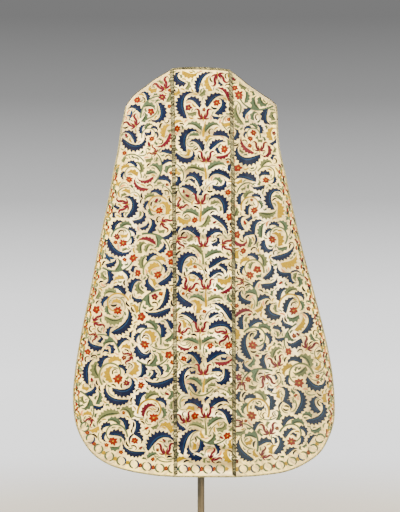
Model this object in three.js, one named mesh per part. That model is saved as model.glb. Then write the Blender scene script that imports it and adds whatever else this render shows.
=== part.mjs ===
// A silk chasuble laid over a padded shoulder form on a pole stand.
// Millimetres, +Z up. The back of the garment faces -Y and the wearer's right hand is at +X.
// The origin is the centre of the stand's underside.
import * as THREE from "three";

// Heights above the floor
const NECK_HEIGHT = 1420;

// Cloth and braid
const WALL = 2;
const SEAM = 0.3;
const LIE = 0.3;
const EDGE_LIE = 0.4;
const NECK_LIE = 0.9;
const GALLOON_WIDTH = 11;
const GALLOON_THICKNESS = 1.2;
const EDGE_BRAID_WIDTH = 4.5;
const EDGE_BRAID_THICKNESS = 1;

// How the cloth rolls over the shoulders
const NECK_HALF = 80;
const NECK_DEPTH = 50;
const TIP_HALF = 207;
const TIP_DEPTH = 32;
const ROLL_HEIGHT = 45;
const NECK_DOME = 25;
const NECK_ARCH = 3.5;
const WRAP_START = 210;
const WRAP_END = 365;
const EDGE_WRAP = 20;
const FLARE_START = 150;
const FLARE_END = 1120;
const FOLD_FADE = 350;

// Shoulder line: drop below the neck edge at a distance from the middle, on each side
const CREST = [
  { across: 80, left: 2, right: 6 },
  { across: 103, left: 16, right: 23 },
  { across: 131, left: 33, right: 46 },
  { across: 150, left: 48, right: 59 },
  { across: 174, left: 65, right: 75 },
  { across: 191, left: 82, right: 86 },
  { across: 207, left: 105, right: 101 },
  { across: 230, left: 140, right: 136 },
  { across: 380, left: 200, right: 200 },
];

// Outer edge of the back, from the shoulder tip down the side and along the hem to the column seam
const BACK_EDGE = [
  { left: 207, leftDrop: 105, right: 207, rightDrop: 101 },
  { left: 212, leftDrop: 135, right: 210, rightDrop: 130 },
  { left: 219, leftDrop: 162, right: 211, rightDrop: 165 },
  { left: 228, leftDrop: 225, right: 216, rightDrop: 222 },
  { left: 241, leftDrop: 287, right: 231, rightDrop: 287 },
  { left: 253, leftDrop: 353, right: 245, rightDrop: 353 },
  { left: 280, leftDrop: 483, right: 275, rightDrop: 483 },
  { left: 305, leftDrop: 614, right: 310, rightDrop: 614 },
  { left: 332, leftDrop: 744, right: 343, rightDrop: 744 },
  { left: 346, leftDrop: 835, right: 360, rightDrop: 835 },
  { left: 351, leftDrop: 905, right: 366, rightDrop: 905 },
  { left: 344, leftDrop: 972, right: 365, rightDrop: 965 },
  { left: 324, leftDrop: 1020, right: 350, rightDrop: 1013 },
  { left: 296, leftDrop: 1056, right: 326, rightDrop: 1053 },
  { left: 254, leftDrop: 1083, right: 285, rightDrop: 1082 },
  { left: 195, leftDrop: 1102, right: 230, rightDrop: 1104 },
  { left: 130, leftDrop: 1113, right: 160, rightDrop: 1115 },
  { left: 69, leftDrop: 1116, right: 90, rightDrop: 1117 },
];

// Outer edge of the front, alike on both sides, cut in at the chest for the arms
const FRONT_EDGE = [
  { across: 207, drop: 105 },
  { across: 203, drop: 136 },
  { across: 190, drop: 170 },
  { across: 173, drop: 225 },
  { across: 166, drop: 290 },
  { across: 168, drop: 370 },
  { across: 183, drop: 470 },
  { across: 213, drop: 590 },
  { across: 245, drop: 710 },
  { across: 272, drop: 820 },
  { across: 285, drop: 890 },
  { across: 282, drop: 940 },
  { across: 262, drop: 985 },
  { across: 225, drop: 1013 },
  { across: 170, drop: 1030 },
  { across: 120, drop: 1037 },
  { across: 76, drop: 1040 },
];

// Half width of the centre column down its two seams
const BACK_COLUMN = [
  { drop: 0, left: 80, right: 80 },
  { drop: 120, left: 77, right: 83 },
  { drop: 310, left: 74, right: 87 },
  { drop: 700, left: 71, right: 89 },
  { drop: 1120, left: 69, right: 90 },
];
const FRONT_COLUMN = [
  { drop: 0, left: 80, right: 80 },
  { drop: 300, left: 72, right: 72 },
  { drop: 1040, left: 76, right: 76 },
];

// Neck opening of the front, from the middle to the shoulder, below the neck corners
const FRONT_NECK = [
  { across: 0, drop: 128 },
  { across: 16, drop: 126 },
  { across: 31, drop: 116 },
  { across: 44, drop: 90 },
  { across: 57, drop: 50 },
  { across: 66, drop: 25 },
  { across: 74, drop: 9 },
  { across: 78, drop: 2 },
  { across: 80, drop: 0 },
];

// Soft folds: where each starts and meets the hem, how far it stands out and its width
const BACK_FOLDS = [
  { top: -150, hem: -245, start: 280, out: 8, width: 62 },
  { top: -100, hem: -130, start: 480, out: -5, width: 50 },
  { top: 30, hem: 15, start: 430, out: 4, width: 60 },
  { top: 118, hem: 165, start: 380, out: -6, width: 55 },
  { top: 160, hem: 268, start: 260, out: 7, width: 62 },
];
const FRONT_FOLDS = [
  { top: -110, hem: -205, start: 300, out: 8, width: 55 },
  { top: -80, hem: -110, start: 520, out: -5, width: 48 },
  { top: 10, hem: -5, start: 420, out: 5, width: 60 },
  { top: 92, hem: 120, start: 450, out: -4, width: 50 },
  { top: 120, hem: 215, start: 320, out: 7, width: 58 },
];

// Spacing of the panels' points: rows down the seam up to each fraction of it, and cells across
const ROW_STRETCHES = [
  { until: 0.062, rows: 6 },
  { until: 0.77, rows: 8 },
  { until: 0.975, rows: 12 },
];
const SIDE_CELLS = 7;
const CENTRE_CELLS = 16;
const GALLOON_CELLS = 2;
const OUTLINE_DIVISIONS = 800;
const EDGE_EVEN_SHARE = 0.5;
const EDGE_LATE_POWER = 4;
const NECK_MITRE = 0.14;

// Shoulder form
const FORM_CLEARANCE = 1.3;
const FORM_TIP_CLEARANCE = 1.9;
const FORM_HALF = 199;
const FORM_CAP_DROP = 26;
const FORM_TOP_FLAT = 2;
const FORM_BOTTOM = 200;
const FORM_TIP_BOTTOM = 150;
const FORM_FLAT_HALF = 60;
const FORM_ROUND = 12;
const FORM_END_ROUND = 9;
const FORM_END_START = 180;
const FORM_STATIONS = 26;
const FORM_RING_HALF = 7;
const FORM_RING_EASE = 1.3;
const FORM_STATION_EASE = 0.85;
const FORM_UNDERSIDE = [0.2, 0.5, 0.8];

// Stand
const FLANGE_RADIUS = 26;
const FLANGE_THICKNESS = 8;
const POLE_RADIUS = 9.75;
const BASE_RADIUS = 180;
const BASE_THICKNESS = 12;
const BASE_RIM = 4;
const COLLAR_RADIUS = 21;
const COLLAR_HEIGHT = 34;
const COLLAR_RIM = 5;
const ROUND_SIDES = 48;

const FINISHES = {
  silk: { color: 0xe9dec3, roughness: 0.7, metalness: 0 },
  plainSilk: { color: 0xd9ccae, roughness: 0.7, metalness: 0 },
  braid: { color: 0x7b7148, roughness: 0.6, metalness: 0.1 },
  linen: { color: 0xd8d2c2, roughness: 0.9, metalness: 0 },
  metal: { color: 0x8b7a60, roughness: 0.45, metalness: 0.8 },
};

const { clamp, lerp, smoothstep } = THREE.MathUtils;

// The two faces of the garment
function alikeOnBothSides(rows) {
  return rows.map((row) => ({
    left: row.across,
    leftDrop: row.drop,
    right: row.across,
    rightDrop: row.drop,
  }));
}
const BACK = { facing: -1, edge: BACK_EDGE, column: BACK_COLUMN, folds: BACK_FOLDS, flare: 24 };
const FRONT = {
  facing: 1,
  edge: alikeOnBothSides(FRONT_EDGE),
  column: FRONT_COLUMN,
  folds: FRONT_FOLDS,
  flare: 20,
};

// A column of a table at any place between its rows, on a smooth curve through them
function tableValue(table, key, column, at) {
  const last = table.length - 1;
  let row = 0;
  while (row < last - 1 && at > table[row + 1][key]) row += 1;
  const slope = (k) => {
    const before = table[Math.max(k - 1, 0)];
    const after = table[Math.min(k + 1, last)];
    return (after[column] - before[column]) / (after[key] - before[key]);
  };
  const from = table[row];
  const to = table[row + 1];
  const span = to[key] - from[key];
  const u = clamp((at - from[key]) / span, 0, 1);
  const rise = u * u * (3 - 2 * u);
  const leave = u * (1 - u) * (1 - u) * span * slope(row);
  const arrive = u * u * (u - 1) * span * slope(row + 1);
  return lerp(from[column], to[column], rise) + leave + arrive;
}

// The cloth's own coordinates are x and fall, the length of cloth below the shoulder line.

// Drop of the line between the two neck corners
function neckSlant(x) {
  return lerp(CREST[0].left, CREST[0].right, (x + NECK_HALF) / (2 * NECK_HALF));
}

// Drop of the back neck edge
function neckEdgeDrop(x) {
  return neckSlant(x) - NECK_ARCH * (1 - (x / NECK_HALF) ** 2);
}

// Drop of the front neck edge
function frontNeckDrop(x) {
  return neckSlant(x) + tableValue(FRONT_NECK, "across", "drop", Math.abs(x));
}

// Drop of the shoulder line, which runs on as a low dome over the open neck
function crestDrop(x) {
  const across = Math.abs(x);
  if (across >= NECK_HALF) return tableValue(CREST, "across", x < 0 ? "left" : "right", across);
  return neckEdgeDrop(x) - NECK_DOME * (1 - (across / NECK_HALF) ** 2);
}

// Length of cloth from the shoulder line down to a drop
function fallTo(x, drop) {
  const below = drop - crestDrop(x);
  if (below <= 0) return 0;
  if (below < ROLL_HEIGHT) return ROLL_HEIGHT * Math.acos(1 - below / ROLL_HEIGHT);
  return ROLL_HEIGHT * (Math.PI / 2 - 1) + below;
}

// Half the depth of the roll over the shoulders
function rollDepth(x) {
  return lerp(NECK_DEPTH, TIP_DEPTH, smoothstep(Math.abs(x), NECK_HALF, TIP_HALF));
}

// Flare, folds and the turn of the side edges, as a depth added below the shoulders
function hangDepth(face, x, drop) {
  let depth = face.flare * smoothstep(drop, FLARE_START, FLARE_END);
  depth -= EDGE_WRAP * smoothstep(Math.abs(x), WRAP_START, WRAP_END);
  for (const fold of face.folds) {
    const centre = lerp(fold.top, fold.hem, (drop - fold.start) / (FLARE_END - fold.start));
    const grown = smoothstep(drop, fold.start, fold.start + FOLD_FADE);
    depth += fold.out * grown * Math.exp(-(((x - centre) / fold.width) ** 2));
  }
  return depth;
}

function clothPoint(face, x, fall) {
  const roll = Math.min(fall / ROLL_HEIGHT, Math.PI / 2);
  const straight = fall - roll * ROLL_HEIGHT;
  const drop = crestDrop(x) + ROLL_HEIGHT * (1 - Math.cos(roll)) + straight;
  const depth = rollDepth(x) * Math.sin(roll) + hangDepth(face, x, drop);
  return new THREE.Vector3(x, face.facing * depth, NECK_HEIGHT - drop);
}

// Steps in space for a step of 1 mm in x and in fall
function clothSteps(face, x, fall) {
  const below = Math.max(fall - 1, 0);
  const acrossStep = clothPoint(face, x + 1, fall).sub(clothPoint(face, x - 1, fall));
  const downStep = clothPoint(face, x, fall + 1).sub(clothPoint(face, x, below));
  acrossStep.multiplyScalar(0.5);
  downStep.divideScalar(fall + 1 - below);
  return { acrossStep, downStep };
}

// A point on the cloth, moved out of its outer face by a lift
function liftedPoint(face, place, lift) {
  const { acrossStep, downStep } = clothSteps(face, place.x, place.fall);
  const out = acrossStep.cross(downStep).multiplyScalar(face.facing).normalize();
  return clothPoint(face, place.x, place.fall).addScaledVector(out, lift);
}

// Closed body from corner points and triangles, turned to face out
function closedBody(corners, triangles) {
  const places = new Map();
  const positions = [];
  const merged = corners.map((corner) => {
    const key = corner.toArray().map((value) => Math.round(value * 1000)).join();
    if (!places.has(key)) {
      places.set(key, places.size);
      positions.push(...corner.toArray());
    }
    return places.get(key);
  });
  let faces = triangles.map((face) => face.map((corner) => merged[corner]));
  faces = faces.filter(([a, b, c]) => a !== b && b !== c && c !== a);
  const at = (index) => new THREE.Vector3().fromArray(positions, 3 * index);
  const volume = faces.reduce((sum, [a, b, c]) => sum + at(a).dot(at(b).cross(at(c))), 0);
  if (volume < 0) faces = faces.map(([a, b, c]) => [a, c, b]);
  const geometry = new THREE.BufferGeometry();
  geometry.setAttribute("position", new THREE.Float32BufferAttribute(positions, 3));
  geometry.setIndex(faces.flat());
  return geometry;
}

// Wall between two grids of points that have the same rows
function wallBetween(outerRows, innerRows) {
  const width = outerRows[0].length;
  const height = outerRows.length;
  const corners = [...outerRows.flat(), ...innerRows.flat()];
  const inner = width * height;
  const triangles = [];
  const quad = (a, b, c, d) => {
    const falling = corners[a].distanceTo(corners[c]);
    const rising = corners[b].distanceTo(corners[d]);
    if (falling <= rising) triangles.push([a, b, c], [a, c, d]);
    else triangles.push([a, b, d], [b, c, d]);
  };
  for (let row = 0; row < height - 1; row += 1) {
    for (let column = 0; column < width - 1; column += 1) {
      const a = row * width + column;
      quad(a, a + width, a + width + 1, a + 1);
      quad(inner + a, inner + a + 1, inner + a + width + 1, inner + a + width);
    }
    const left = row * width;
    const right = left + width - 1;
    quad(left, inner + left, inner + left + width, left + width);
    quad(right, right + width, inner + right + width, inner + right);
  }
  for (let column = 0; column < width - 1; column += 1) {
    const bottom = (height - 1) * width + column;
    quad(column, column + 1, inner + column + 1, inner + column);
    quad(bottom, inner + bottom, inner + bottom + 1, bottom + 1);
  }
  return closedBody(corners, triangles);
}

// Wall on the cloth through a grid of places, between two lifts
function clothWall(face, grid, innerLift, outerLift) {
  const raised = (lift) => grid.map((row) => row.map((place) => liftedPoint(face, place, lift)));
  return wallBetween(raised(outerLift), raised(innerLift));
}

// Fractions down the seam at which each panel has a row of points
function rowFractions(length) {
  const fractions = [0, GALLOON_WIDTH / 2 / length];
  let from = fractions[1];
  for (const stretch of ROW_STRETCHES) {
    for (let row = 1; row <= stretch.rows; row += 1) {
      fractions.push(lerp(from, stretch.until, row / stretch.rows));
    }
    from = stretch.until;
  }
  fractions.push(1 - EDGE_BRAID_WIDTH / length, 1);
  return fractions;
}

// Column seam, from the shoulder line to the hem
function seamLine(face, side) {
  const sign = side === "left" ? -1 : 1;
  const hem = face.edge[face.edge.length - 1];
  const placeAt = (drop) => {
    const x = sign * tableValue(face.column, "drop", side, drop);
    return { x, fall: fallTo(x, drop) };
  };
  const end = placeAt(hem[side + "Drop"]);
  const startCrest = crestDrop(sign * face.column[0][side]);
  return (fraction) => {
    const fall = end.fall * fraction;
    const drop = startCrest + Math.max(fall - ROLL_HEIGHT * (Math.PI / 2 - 1), 0);
    const { x } = placeAt(drop);
    return { x, fall };
  };
}

function seamLength(face, side) {
  return seamLine(face, side)(1).fall;
}

// Outer edge, from the shoulder tip round to the hem end of the column seam
function edgeLine(face, side) {
  const sign = side === "left" ? -1 : 1;
  const stops = face.edge.map((row) => new THREE.Vector3(sign * row[side], row[side + "Drop"], 0));
  stops[0].y = crestDrop(stops[0].x);
  const curve = new THREE.CatmullRomCurve3(stops);
  curve.arcLengthDivisions = OUTLINE_DIVISIONS;
  return (fraction) => {
    const point = curve.getPointAt(fraction);
    return { x: point.x, fall: fallTo(point.x, point.y) };
  };
}

// Fractions across a row, with a real width for the first and last cell
function cellFractions(cells, width, first, last) {
  const fractions = [0];
  for (let cell = 1; cell < cells; cell += 1) {
    fractions.push(lerp(first / width, 1 - last / width, (cell - 1) / (cells - 2)));
  }
  fractions.push(1);
  return fractions;
}

function between(from, to, fraction) {
  return { x: lerp(from.x, to.x, fraction), fall: lerp(from.fall, to.fall, fraction) };
}

// Front and back meet at the shoulder line with half a seam on each side
function clearOfShoulderSeam(place) {
  const least = ((SEAM / 2) * ROLL_HEIGHT) / rollDepth(place.x);
  return { x: place.x, fall: Math.max(place.fall, least) };
}

// Places of a side panel: rows run from the column seam out to the edge
function sidePanelPlaces(face, side) {
  const sign = side === "left" ? -1 : 1;
  const seam = seamLine(face, side);
  const edge = edgeLine(face, side);
  return rowFractions(seamLength(face, side)).map((fraction, row) => {
    const late = fraction ** EDGE_LATE_POWER;
    const inner = seam(fraction);
    const outer = edge(lerp(late, fraction, EDGE_EVEN_SHARE));
    if (row === 1) outer.fall = inner.fall;
    inner.x += (sign * SEAM) / 2;
    const width = Math.hypot(outer.x - inner.x, outer.fall - inner.fall);
    const shares = cellFractions(SIDE_CELLS, Math.max(width, 1), GALLOON_WIDTH / 2, EDGE_BRAID_WIDTH);
    return shares.map((share) => {
      const place = fraction === 1 ? inner : between(inner, outer, share);
      return clearOfShoulderSeam(place);
    });
  });
}

// Places of a centre column: rows run from the left seam to the right one
function centrePlaces(face, neckDrop) {
  const left = seamLine(face, "left");
  const right = seamLine(face, "right");
  const hem = face.edge[face.edge.length - 1];
  const fractions = rowFractions(seamLength(face, "left"));
  return fractions.map((fraction) => {
    const from = left(fraction).x + SEAM / 2;
    const to = right(fraction).x - SEAM / 2;
    const cells = Array.from({ length: CENTRE_CELLS + 1 }, (_, cell) => cell);
    return cells.map((cell) => {
      const share = (1 - Math.cos((Math.PI * cell) / CENTRE_CELLS)) / 2;
      const neckX = lerp(-NECK_HALF, NECK_HALF, share);
      const hemX = lerp(left(1).x, right(1).x, share);
      const neckFall = fallTo(neckX, neckDrop(neckX));
      const hemFall = fallTo(hemX, lerp(hem.leftDrop, hem.rightDrop, share));
      return clearOfShoulderSeam({ x: lerp(from, to, share), fall: lerp(neckFall, hemFall, fraction) });
    });
  });
}

const panels = {
  back_left: { face: BACK, places: sidePanelPlaces(BACK, "left") },
  back_right: { face: BACK, places: sidePanelPlaces(BACK, "right") },
  back_centre: { face: BACK, places: centrePlaces(BACK, neckEdgeDrop) },
  front_left: { face: FRONT, places: sidePanelPlaces(FRONT, "left") },
  front_right: { face: FRONT, places: sidePanelPlaces(FRONT, "right") },
  front_centre: { face: FRONT, places: centrePlaces(FRONT, frontNeckDrop) },
};

const chasuble = new THREE.Group();

function addMesh(name, geometry, finish) {
  const mesh = new THREE.Mesh(geometry, new THREE.MeshStandardMaterial(finish));
  mesh.name = name;
  chasuble.add(mesh);
}

for (const [name, { face, places }] of Object.entries(panels)) {
  const finish = face === BACK ? FINISHES.silk : FINISHES.plainSilk;
  addMesh(name, clothWall(face, places, -WALL, 0), finish);
}

// Braid over a column seam, on the two panels' own points
function seamGalloon(name, side) {
  const sideRows = panels[`${name}_${side}`].places;
  const centreRows = panels[`${name}_centre`].places;
  const lastRow = sideRows.length - 2;
  const rows = [];
  for (let row = 0; row <= lastRow; row += 1) {
    const shorten = row === lastRow ? LIE : 0;
    const centreRow = side === "left" ? centreRows[row] : [...centreRows[row]].reverse();
    const across = [sideRows[row][1], ...centreRow.slice(0, GALLOON_CELLS + 1)];
    rows.push(across.map(({ x, fall }) => ({ x, fall: fall - shorten })));
  }
  const { face } = panels[`${name}_centre`];
  return clothWall(face, rows, LIE, LIE + GALLOON_THICKNESS);
}

// Narrow braid round the outer edge: down one side, along the hem and up the other
function edgeBraid(name) {
  const down = (side) => {
    const rows = panels[`${name}_${side}`].places.slice(1, -1);
    const pairs = rows.map((row) => [row[row.length - 2], row[row.length - 1]]);
    pairs[0] = pairs[0].map(({ x, fall }) => ({ x, fall: fall + LIE }));
    return pairs;
  };
  const centreRows = panels[`${name}_centre`].places;
  const lastRow = centreRows.length - 1;
  const hem = centreRows[lastRow].map((place, cell) => [centreRows[lastRow - 1][cell], place]);
  const pairs = [...down("left"), ...hem, ...down("right").reverse()];
  const { face } = panels[`${name}_centre`];
  return clothWall(face, pairs, EDGE_LIE, EDGE_LIE + EDGE_BRAID_THICKNESS);
}

// The place square to a neck edge at a distance down the cloth
function squareTo(face, place, next, distance) {
  const { acrossStep, downStep } = clothSteps(face, place.x, place.fall);
  const run = clothPoint(face, next.x, next.fall).sub(clothPoint(face, place.x, place.fall));
  const square = acrossStep.clone().cross(downStep).cross(run).normalize();
  if (square.dot(downStep) < 0) square.negate();
  const stretch = acrossStep.dot(acrossStep);
  const shear = acrossStep.dot(downStep);
  const length = downStep.dot(downStep);
  const alongX = square.dot(acrossStep) * distance;
  const alongFall = square.dot(downStep) * distance;
  const spread = stretch * length - shear * shear;
  return {
    x: place.x + (alongX * length - alongFall * shear) / spread,
    fall: place.fall + (alongFall * stretch - alongX * shear) / spread,
  };
}

// Braid on a neck edge, mitred where it meets the braids of the column seams
function neckGalloon(name) {
  const { face, places } = panels[`${name}_centre`];
  const edge = places[0].slice(GALLOON_CELLS, -GALLOON_CELLS);
  const stops = [];
  edge.forEach((place, cell) => {
    stops.push(place);
    if (cell < edge.length - 1) stops.push(between(place, edge[cell + 1], 0.5));
  });
  const room = Math.abs(edge[0].x) - LIE;
  stops[0] = between(edge[0], edge[1], NECK_MITRE);
  stops[stops.length - 1] = between(edge[edge.length - 1], edge[edge.length - 2], NECK_MITRE);
  const rows = stops.map((place, stop) => {
    const next = stops[stop + 1] ?? between(stops[stop - 1], place, 2);
    const inner = squareTo(face, place, next, GALLOON_WIDTH / 2);
    const reach = Math.abs(inner.x);
    if (reach <= room) return [inner, place];
    const trimmed = (room - Math.abs(place.x)) / (reach - Math.abs(place.x));
    return [between(place, inner, trimmed), place];
  });
  return clothWall(face, rows, NECK_LIE, NECK_LIE + GALLOON_THICKNESS);
}

// Braid over a shoulder seam, half on the back and half on the front
function shoulderGalloon(side) {
  const backRows = panels[`back_${side}`].places;
  const frontRows = panels[`front_${side}`].places;
  const sign = side === "left" ? -1 : 1;
  const strips = [];
  for (let cell = 1; cell <= SIDE_CELLS; cell += 1) {
    const clear = cell === 1 ? LIE * sign : 0;
    const moved = ({ x, fall }) => ({ x: x + clear, fall });
    strips.push([
      { face: BACK, place: moved(backRows[1][cell]) },
      { face: BACK, place: moved(backRows[0][cell]) },
      { face: FRONT, place: moved(frontRows[0][cell]) },
      { face: FRONT, place: moved(frontRows[1][cell]) },
    ]);
  }
  const raised = (lift) =>
    strips.map((strip) => strip.map(({ face, place }) => liftedPoint(face, place, lift)));
  return wallBetween(raised(LIE + GALLOON_THICKNESS), raised(LIE));
}

for (const name of ["back", "front"]) {
  for (const side of ["left", "right"]) {
    addMesh(`${name}_galloon_${side}`, seamGalloon(name, side), FINISHES.braid);
  }
  addMesh(`${name}_edge_braid`, edgeBraid(name), FINISHES.braid);
}
addMesh("neck_galloon_back", neckGalloon("back"), FINISHES.braid);
addMesh("neck_galloon_front", neckGalloon("front"), FINISHES.braid);
for (const side of ["left", "right"]) {
  addMesh(`shoulder_galloon_${side}`, shoulderGalloon(side), FINISHES.braid);
}

// Padded form inside the shoulders: rings along x, closed by a fan at each end
function formRing(x) {
  const across = Math.abs(x);
  const clearance = FORM_CLEARANCE + FORM_TIP_CLEARANCE * smoothstep(across, NECK_HALF, FORM_END_START);
  const endRound = FORM_END_ROUND * smoothstep(across, FORM_END_START, FORM_HALF + 1) ** 2;
  const lift = -(WALL + clearance + endRound);
  const bottomDrop = lerp(FORM_BOTTOM, FORM_TIP_BOTTOM, smoothstep(across, FORM_FLAT_HALF, FORM_HALF));
  const topFall = Math.max(fallTo(x, Math.max(crestDrop(x), FORM_CAP_DROP)), FORM_TOP_FLAT);
  const bottomFall = fallTo(x, bottomDrop);
  const side = (face) => {
    const points = [];
    for (let k = 0; k < FORM_RING_HALF; k += 1) {
      const share = (k / (FORM_RING_HALF - 1)) ** FORM_RING_EASE;
      points.push(liftedPoint(face, { x, fall: lerp(topFall, bottomFall, share) }, lift));
    }
    return points;
  };
  const back = side(BACK).reverse();
  const front = side(FRONT);
  const from = front[front.length - 1];
  const under = FORM_UNDERSIDE.map((share) => {
    const y = lerp(from.y, back[0].y, share);
    return new THREE.Vector3(x, y, NECK_HEIGHT - bottomDrop - FORM_ROUND);
  });
  return [...back, ...front, ...under];
}

function shoulderForm() {
  const rings = [];
  for (let k = 0; k <= FORM_STATIONS; k += 1) {
    const reach = (2 * k) / FORM_STATIONS - 1;
    rings.push(formRing(FORM_HALF * Math.sign(reach) * Math.abs(reach) ** FORM_STATION_EASE));
  }
  const corners = rings.flat();
  const size = rings[0].length;
  const triangles = [];
  for (let ring = 0; ring < rings.length - 1; ring += 1) {
    for (let k = 0; k < size; k += 1) {
      const a = ring * size + k;
      const b = ring * size + ((k + 1) % size);
      triangles.push([a, b, b + size], [a, b + size, a + size]);
    }
  }
  for (const [ring, turned] of [[0, true], [rings.length - 1, false]]) {
    const middle = new THREE.Vector3();
    rings[ring].forEach((corner) => middle.addScaledVector(corner, 1 / size));
    corners.push(middle);
    for (let k = 0; k < size; k += 1) {
      const a = ring * size + k;
      const b = ring * size + ((k + 1) % size);
      triangles.push(turned ? [b, a, corners.length - 1] : [a, b, corners.length - 1]);
    }
  }
  return closedBody(corners, triangles);
}
addMesh("shoulder_form", shoulderForm(), FINISHES.linen);

// Stand parts, turned round the pole's axis from profiles of radius and height
function turned(profile) {
  const points = profile.map(([radius, height]) => new THREE.Vector2(radius, height));
  const geometry = new THREE.LatheGeometry(points, ROUND_SIDES);
  return geometry.rotateX(Math.PI / 2);
}

const poleFoot = BASE_THICKNESS + SEAM;
const formUnderside = NECK_HEIGHT - FORM_BOTTOM - FORM_ROUND;
const flangeFoot = formUnderside - SEAM - FLANGE_THICKNESS;
const poleTop = flangeFoot - SEAM;

function disc(radius, foot, top) {
  return turned([[0, foot], [radius, foot], [radius, top], [0, top]]);
}
addMesh("form_flange", disc(FLANGE_RADIUS, flangeFoot, flangeFoot + FLANGE_THICKNESS), FINISHES.metal);
addMesh("pole", disc(POLE_RADIUS, poleFoot, poleTop), FINISHES.metal);
const collar = turned([
  [POLE_RADIUS + SEAM, poleFoot],
  [COLLAR_RADIUS, poleFoot],
  [COLLAR_RADIUS, poleFoot + COLLAR_HEIGHT - COLLAR_RIM],
  [COLLAR_RADIUS - COLLAR_RIM, poleFoot + COLLAR_HEIGHT],
  [POLE_RADIUS + SEAM, poleFoot + COLLAR_HEIGHT],
  [POLE_RADIUS + SEAM, poleFoot],
]);
addMesh("base_collar", collar, FINISHES.metal);
const plate = turned([
  [0, 0],
  [BASE_RADIUS - BASE_RIM / 2, 0],
  [BASE_RADIUS, BASE_RIM / 2],
  [BASE_RADIUS, BASE_THICKNESS - BASE_RIM],
  [BASE_RADIUS - BASE_RIM, BASE_THICKNESS],
  [0, BASE_THICKNESS],
]);
addMesh("base_plate", plate, FINISHES.metal);

export default chasuble;
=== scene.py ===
"""A silk chasuble with embroidered panels, laid over a padded form on a pole stand.

Metres, +Z up. The back of the garment faces -Y and the wearer's right hand is at +X.
"""

import math

import bmesh
import bpy
import numpy as np
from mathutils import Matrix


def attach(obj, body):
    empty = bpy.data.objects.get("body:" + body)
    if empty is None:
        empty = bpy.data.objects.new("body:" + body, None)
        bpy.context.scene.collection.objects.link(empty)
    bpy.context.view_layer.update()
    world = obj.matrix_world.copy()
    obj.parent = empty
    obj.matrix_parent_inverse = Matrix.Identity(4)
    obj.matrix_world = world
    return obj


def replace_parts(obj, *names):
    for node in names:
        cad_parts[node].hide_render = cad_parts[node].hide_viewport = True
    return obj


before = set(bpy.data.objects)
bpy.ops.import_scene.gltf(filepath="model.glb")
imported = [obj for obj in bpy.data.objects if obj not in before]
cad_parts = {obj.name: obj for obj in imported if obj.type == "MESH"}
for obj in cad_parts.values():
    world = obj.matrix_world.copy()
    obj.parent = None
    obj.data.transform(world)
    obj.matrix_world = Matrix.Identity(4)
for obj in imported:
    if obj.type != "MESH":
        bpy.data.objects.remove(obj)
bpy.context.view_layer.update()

bl_info = {
    "name": "Chasuble on a display stand",
    "version": (1, 0, 0),
    "blender": (4, 5, 0),
    "location": "View3D > Sidebar > Chasuble",
    "description": "Dresses the packed frame as an embroidered silk chasuble",
    "category": "Object",
}

# Cloth and braid
WALL = 0.002
SEAM = 0.0003
GALLOON_HALF = 0.0055
EDGE_BRAID_HALF = 0.00225
NECK_BRAID_HALF = 0.004

# How the cloth rolls over the shoulders
NECK_HEIGHT = 1.420
NECK_HALF = 0.080
NECK_DEPTH = 0.050
TIP_HALF = 0.207
TIP_DEPTH = 0.032
ROLL_HEIGHT = 0.045
NECK_DOME = 0.025
NECK_ARCH = 0.0035
WRAP_START = 0.210
WRAP_END = 0.365
EDGE_WRAP = 0.020
FLARE_START = 0.150
FLARE_END = 1.120
FOLD_FADE = 0.350
EDGE_EVEN_SHARE = 0.5
EDGE_LATE_POWER = 4

# Points of the panels: rows down the seam up to each fraction of it, and cells across
SIDE_ROWS = ((0.062, 22), (0.77, 260), (1.0, 108))
SIDE_CELLS = 44
CENTRE_ROWS = 480
CENTRE_CELLS = 36

# Step for the slope of a surface
SLOPE_STEP = 0.0008


def table(columns, *rows):
    """Rows of numbers as one array for each named column."""
    return dict(zip(columns.split(), np.array(rows).T))


# Shoulder line: drop below the neck edge at a distance from the middle, on each side
CREST = table(
    "across left right",
    (0.080, 0.002, 0.006),
    (0.103, 0.016, 0.023),
    (0.131, 0.033, 0.046),
    (0.150, 0.048, 0.059),
    (0.174, 0.065, 0.075),
    (0.191, 0.082, 0.086),
    (0.207, 0.105, 0.101),
    (0.230, 0.140, 0.136),
    (0.380, 0.200, 0.200),
)

# Outer edge of the back, from the shoulder tip down the side and along the hem to the seam
BACK_EDGE = table(
    "left left_drop right right_drop",
    (0.207, 0.105, 0.207, 0.101),
    (0.212, 0.135, 0.210, 0.130),
    (0.219, 0.162, 0.211, 0.165),
    (0.228, 0.225, 0.216, 0.222),
    (0.241, 0.287, 0.231, 0.287),
    (0.253, 0.353, 0.245, 0.353),
    (0.280, 0.483, 0.275, 0.483),
    (0.305, 0.614, 0.310, 0.614),
    (0.332, 0.744, 0.343, 0.744),
    (0.346, 0.835, 0.360, 0.835),
    (0.351, 0.905, 0.366, 0.905),
    (0.344, 0.972, 0.365, 0.965),
    (0.324, 1.020, 0.350, 1.013),
    (0.296, 1.056, 0.326, 1.053),
    (0.254, 1.083, 0.285, 1.082),
    (0.195, 1.102, 0.230, 1.104),
    (0.130, 1.113, 0.160, 1.115),
    (0.069, 1.116, 0.090, 1.117),
)

# Outer edge of the front, alike on both sides, cut in at the chest for the arms
FRONT_EDGE = table(
    "across drop",
    (0.207, 0.105),
    (0.203, 0.136),
    (0.190, 0.170),
    (0.173, 0.225),
    (0.166, 0.290),
    (0.168, 0.370),
    (0.183, 0.470),
    (0.213, 0.590),
    (0.245, 0.710),
    (0.272, 0.820),
    (0.285, 0.890),
    (0.282, 0.940),
    (0.262, 0.985),
    (0.225, 1.013),
    (0.170, 1.030),
    (0.120, 1.037),
    (0.076, 1.040),
)

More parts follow.
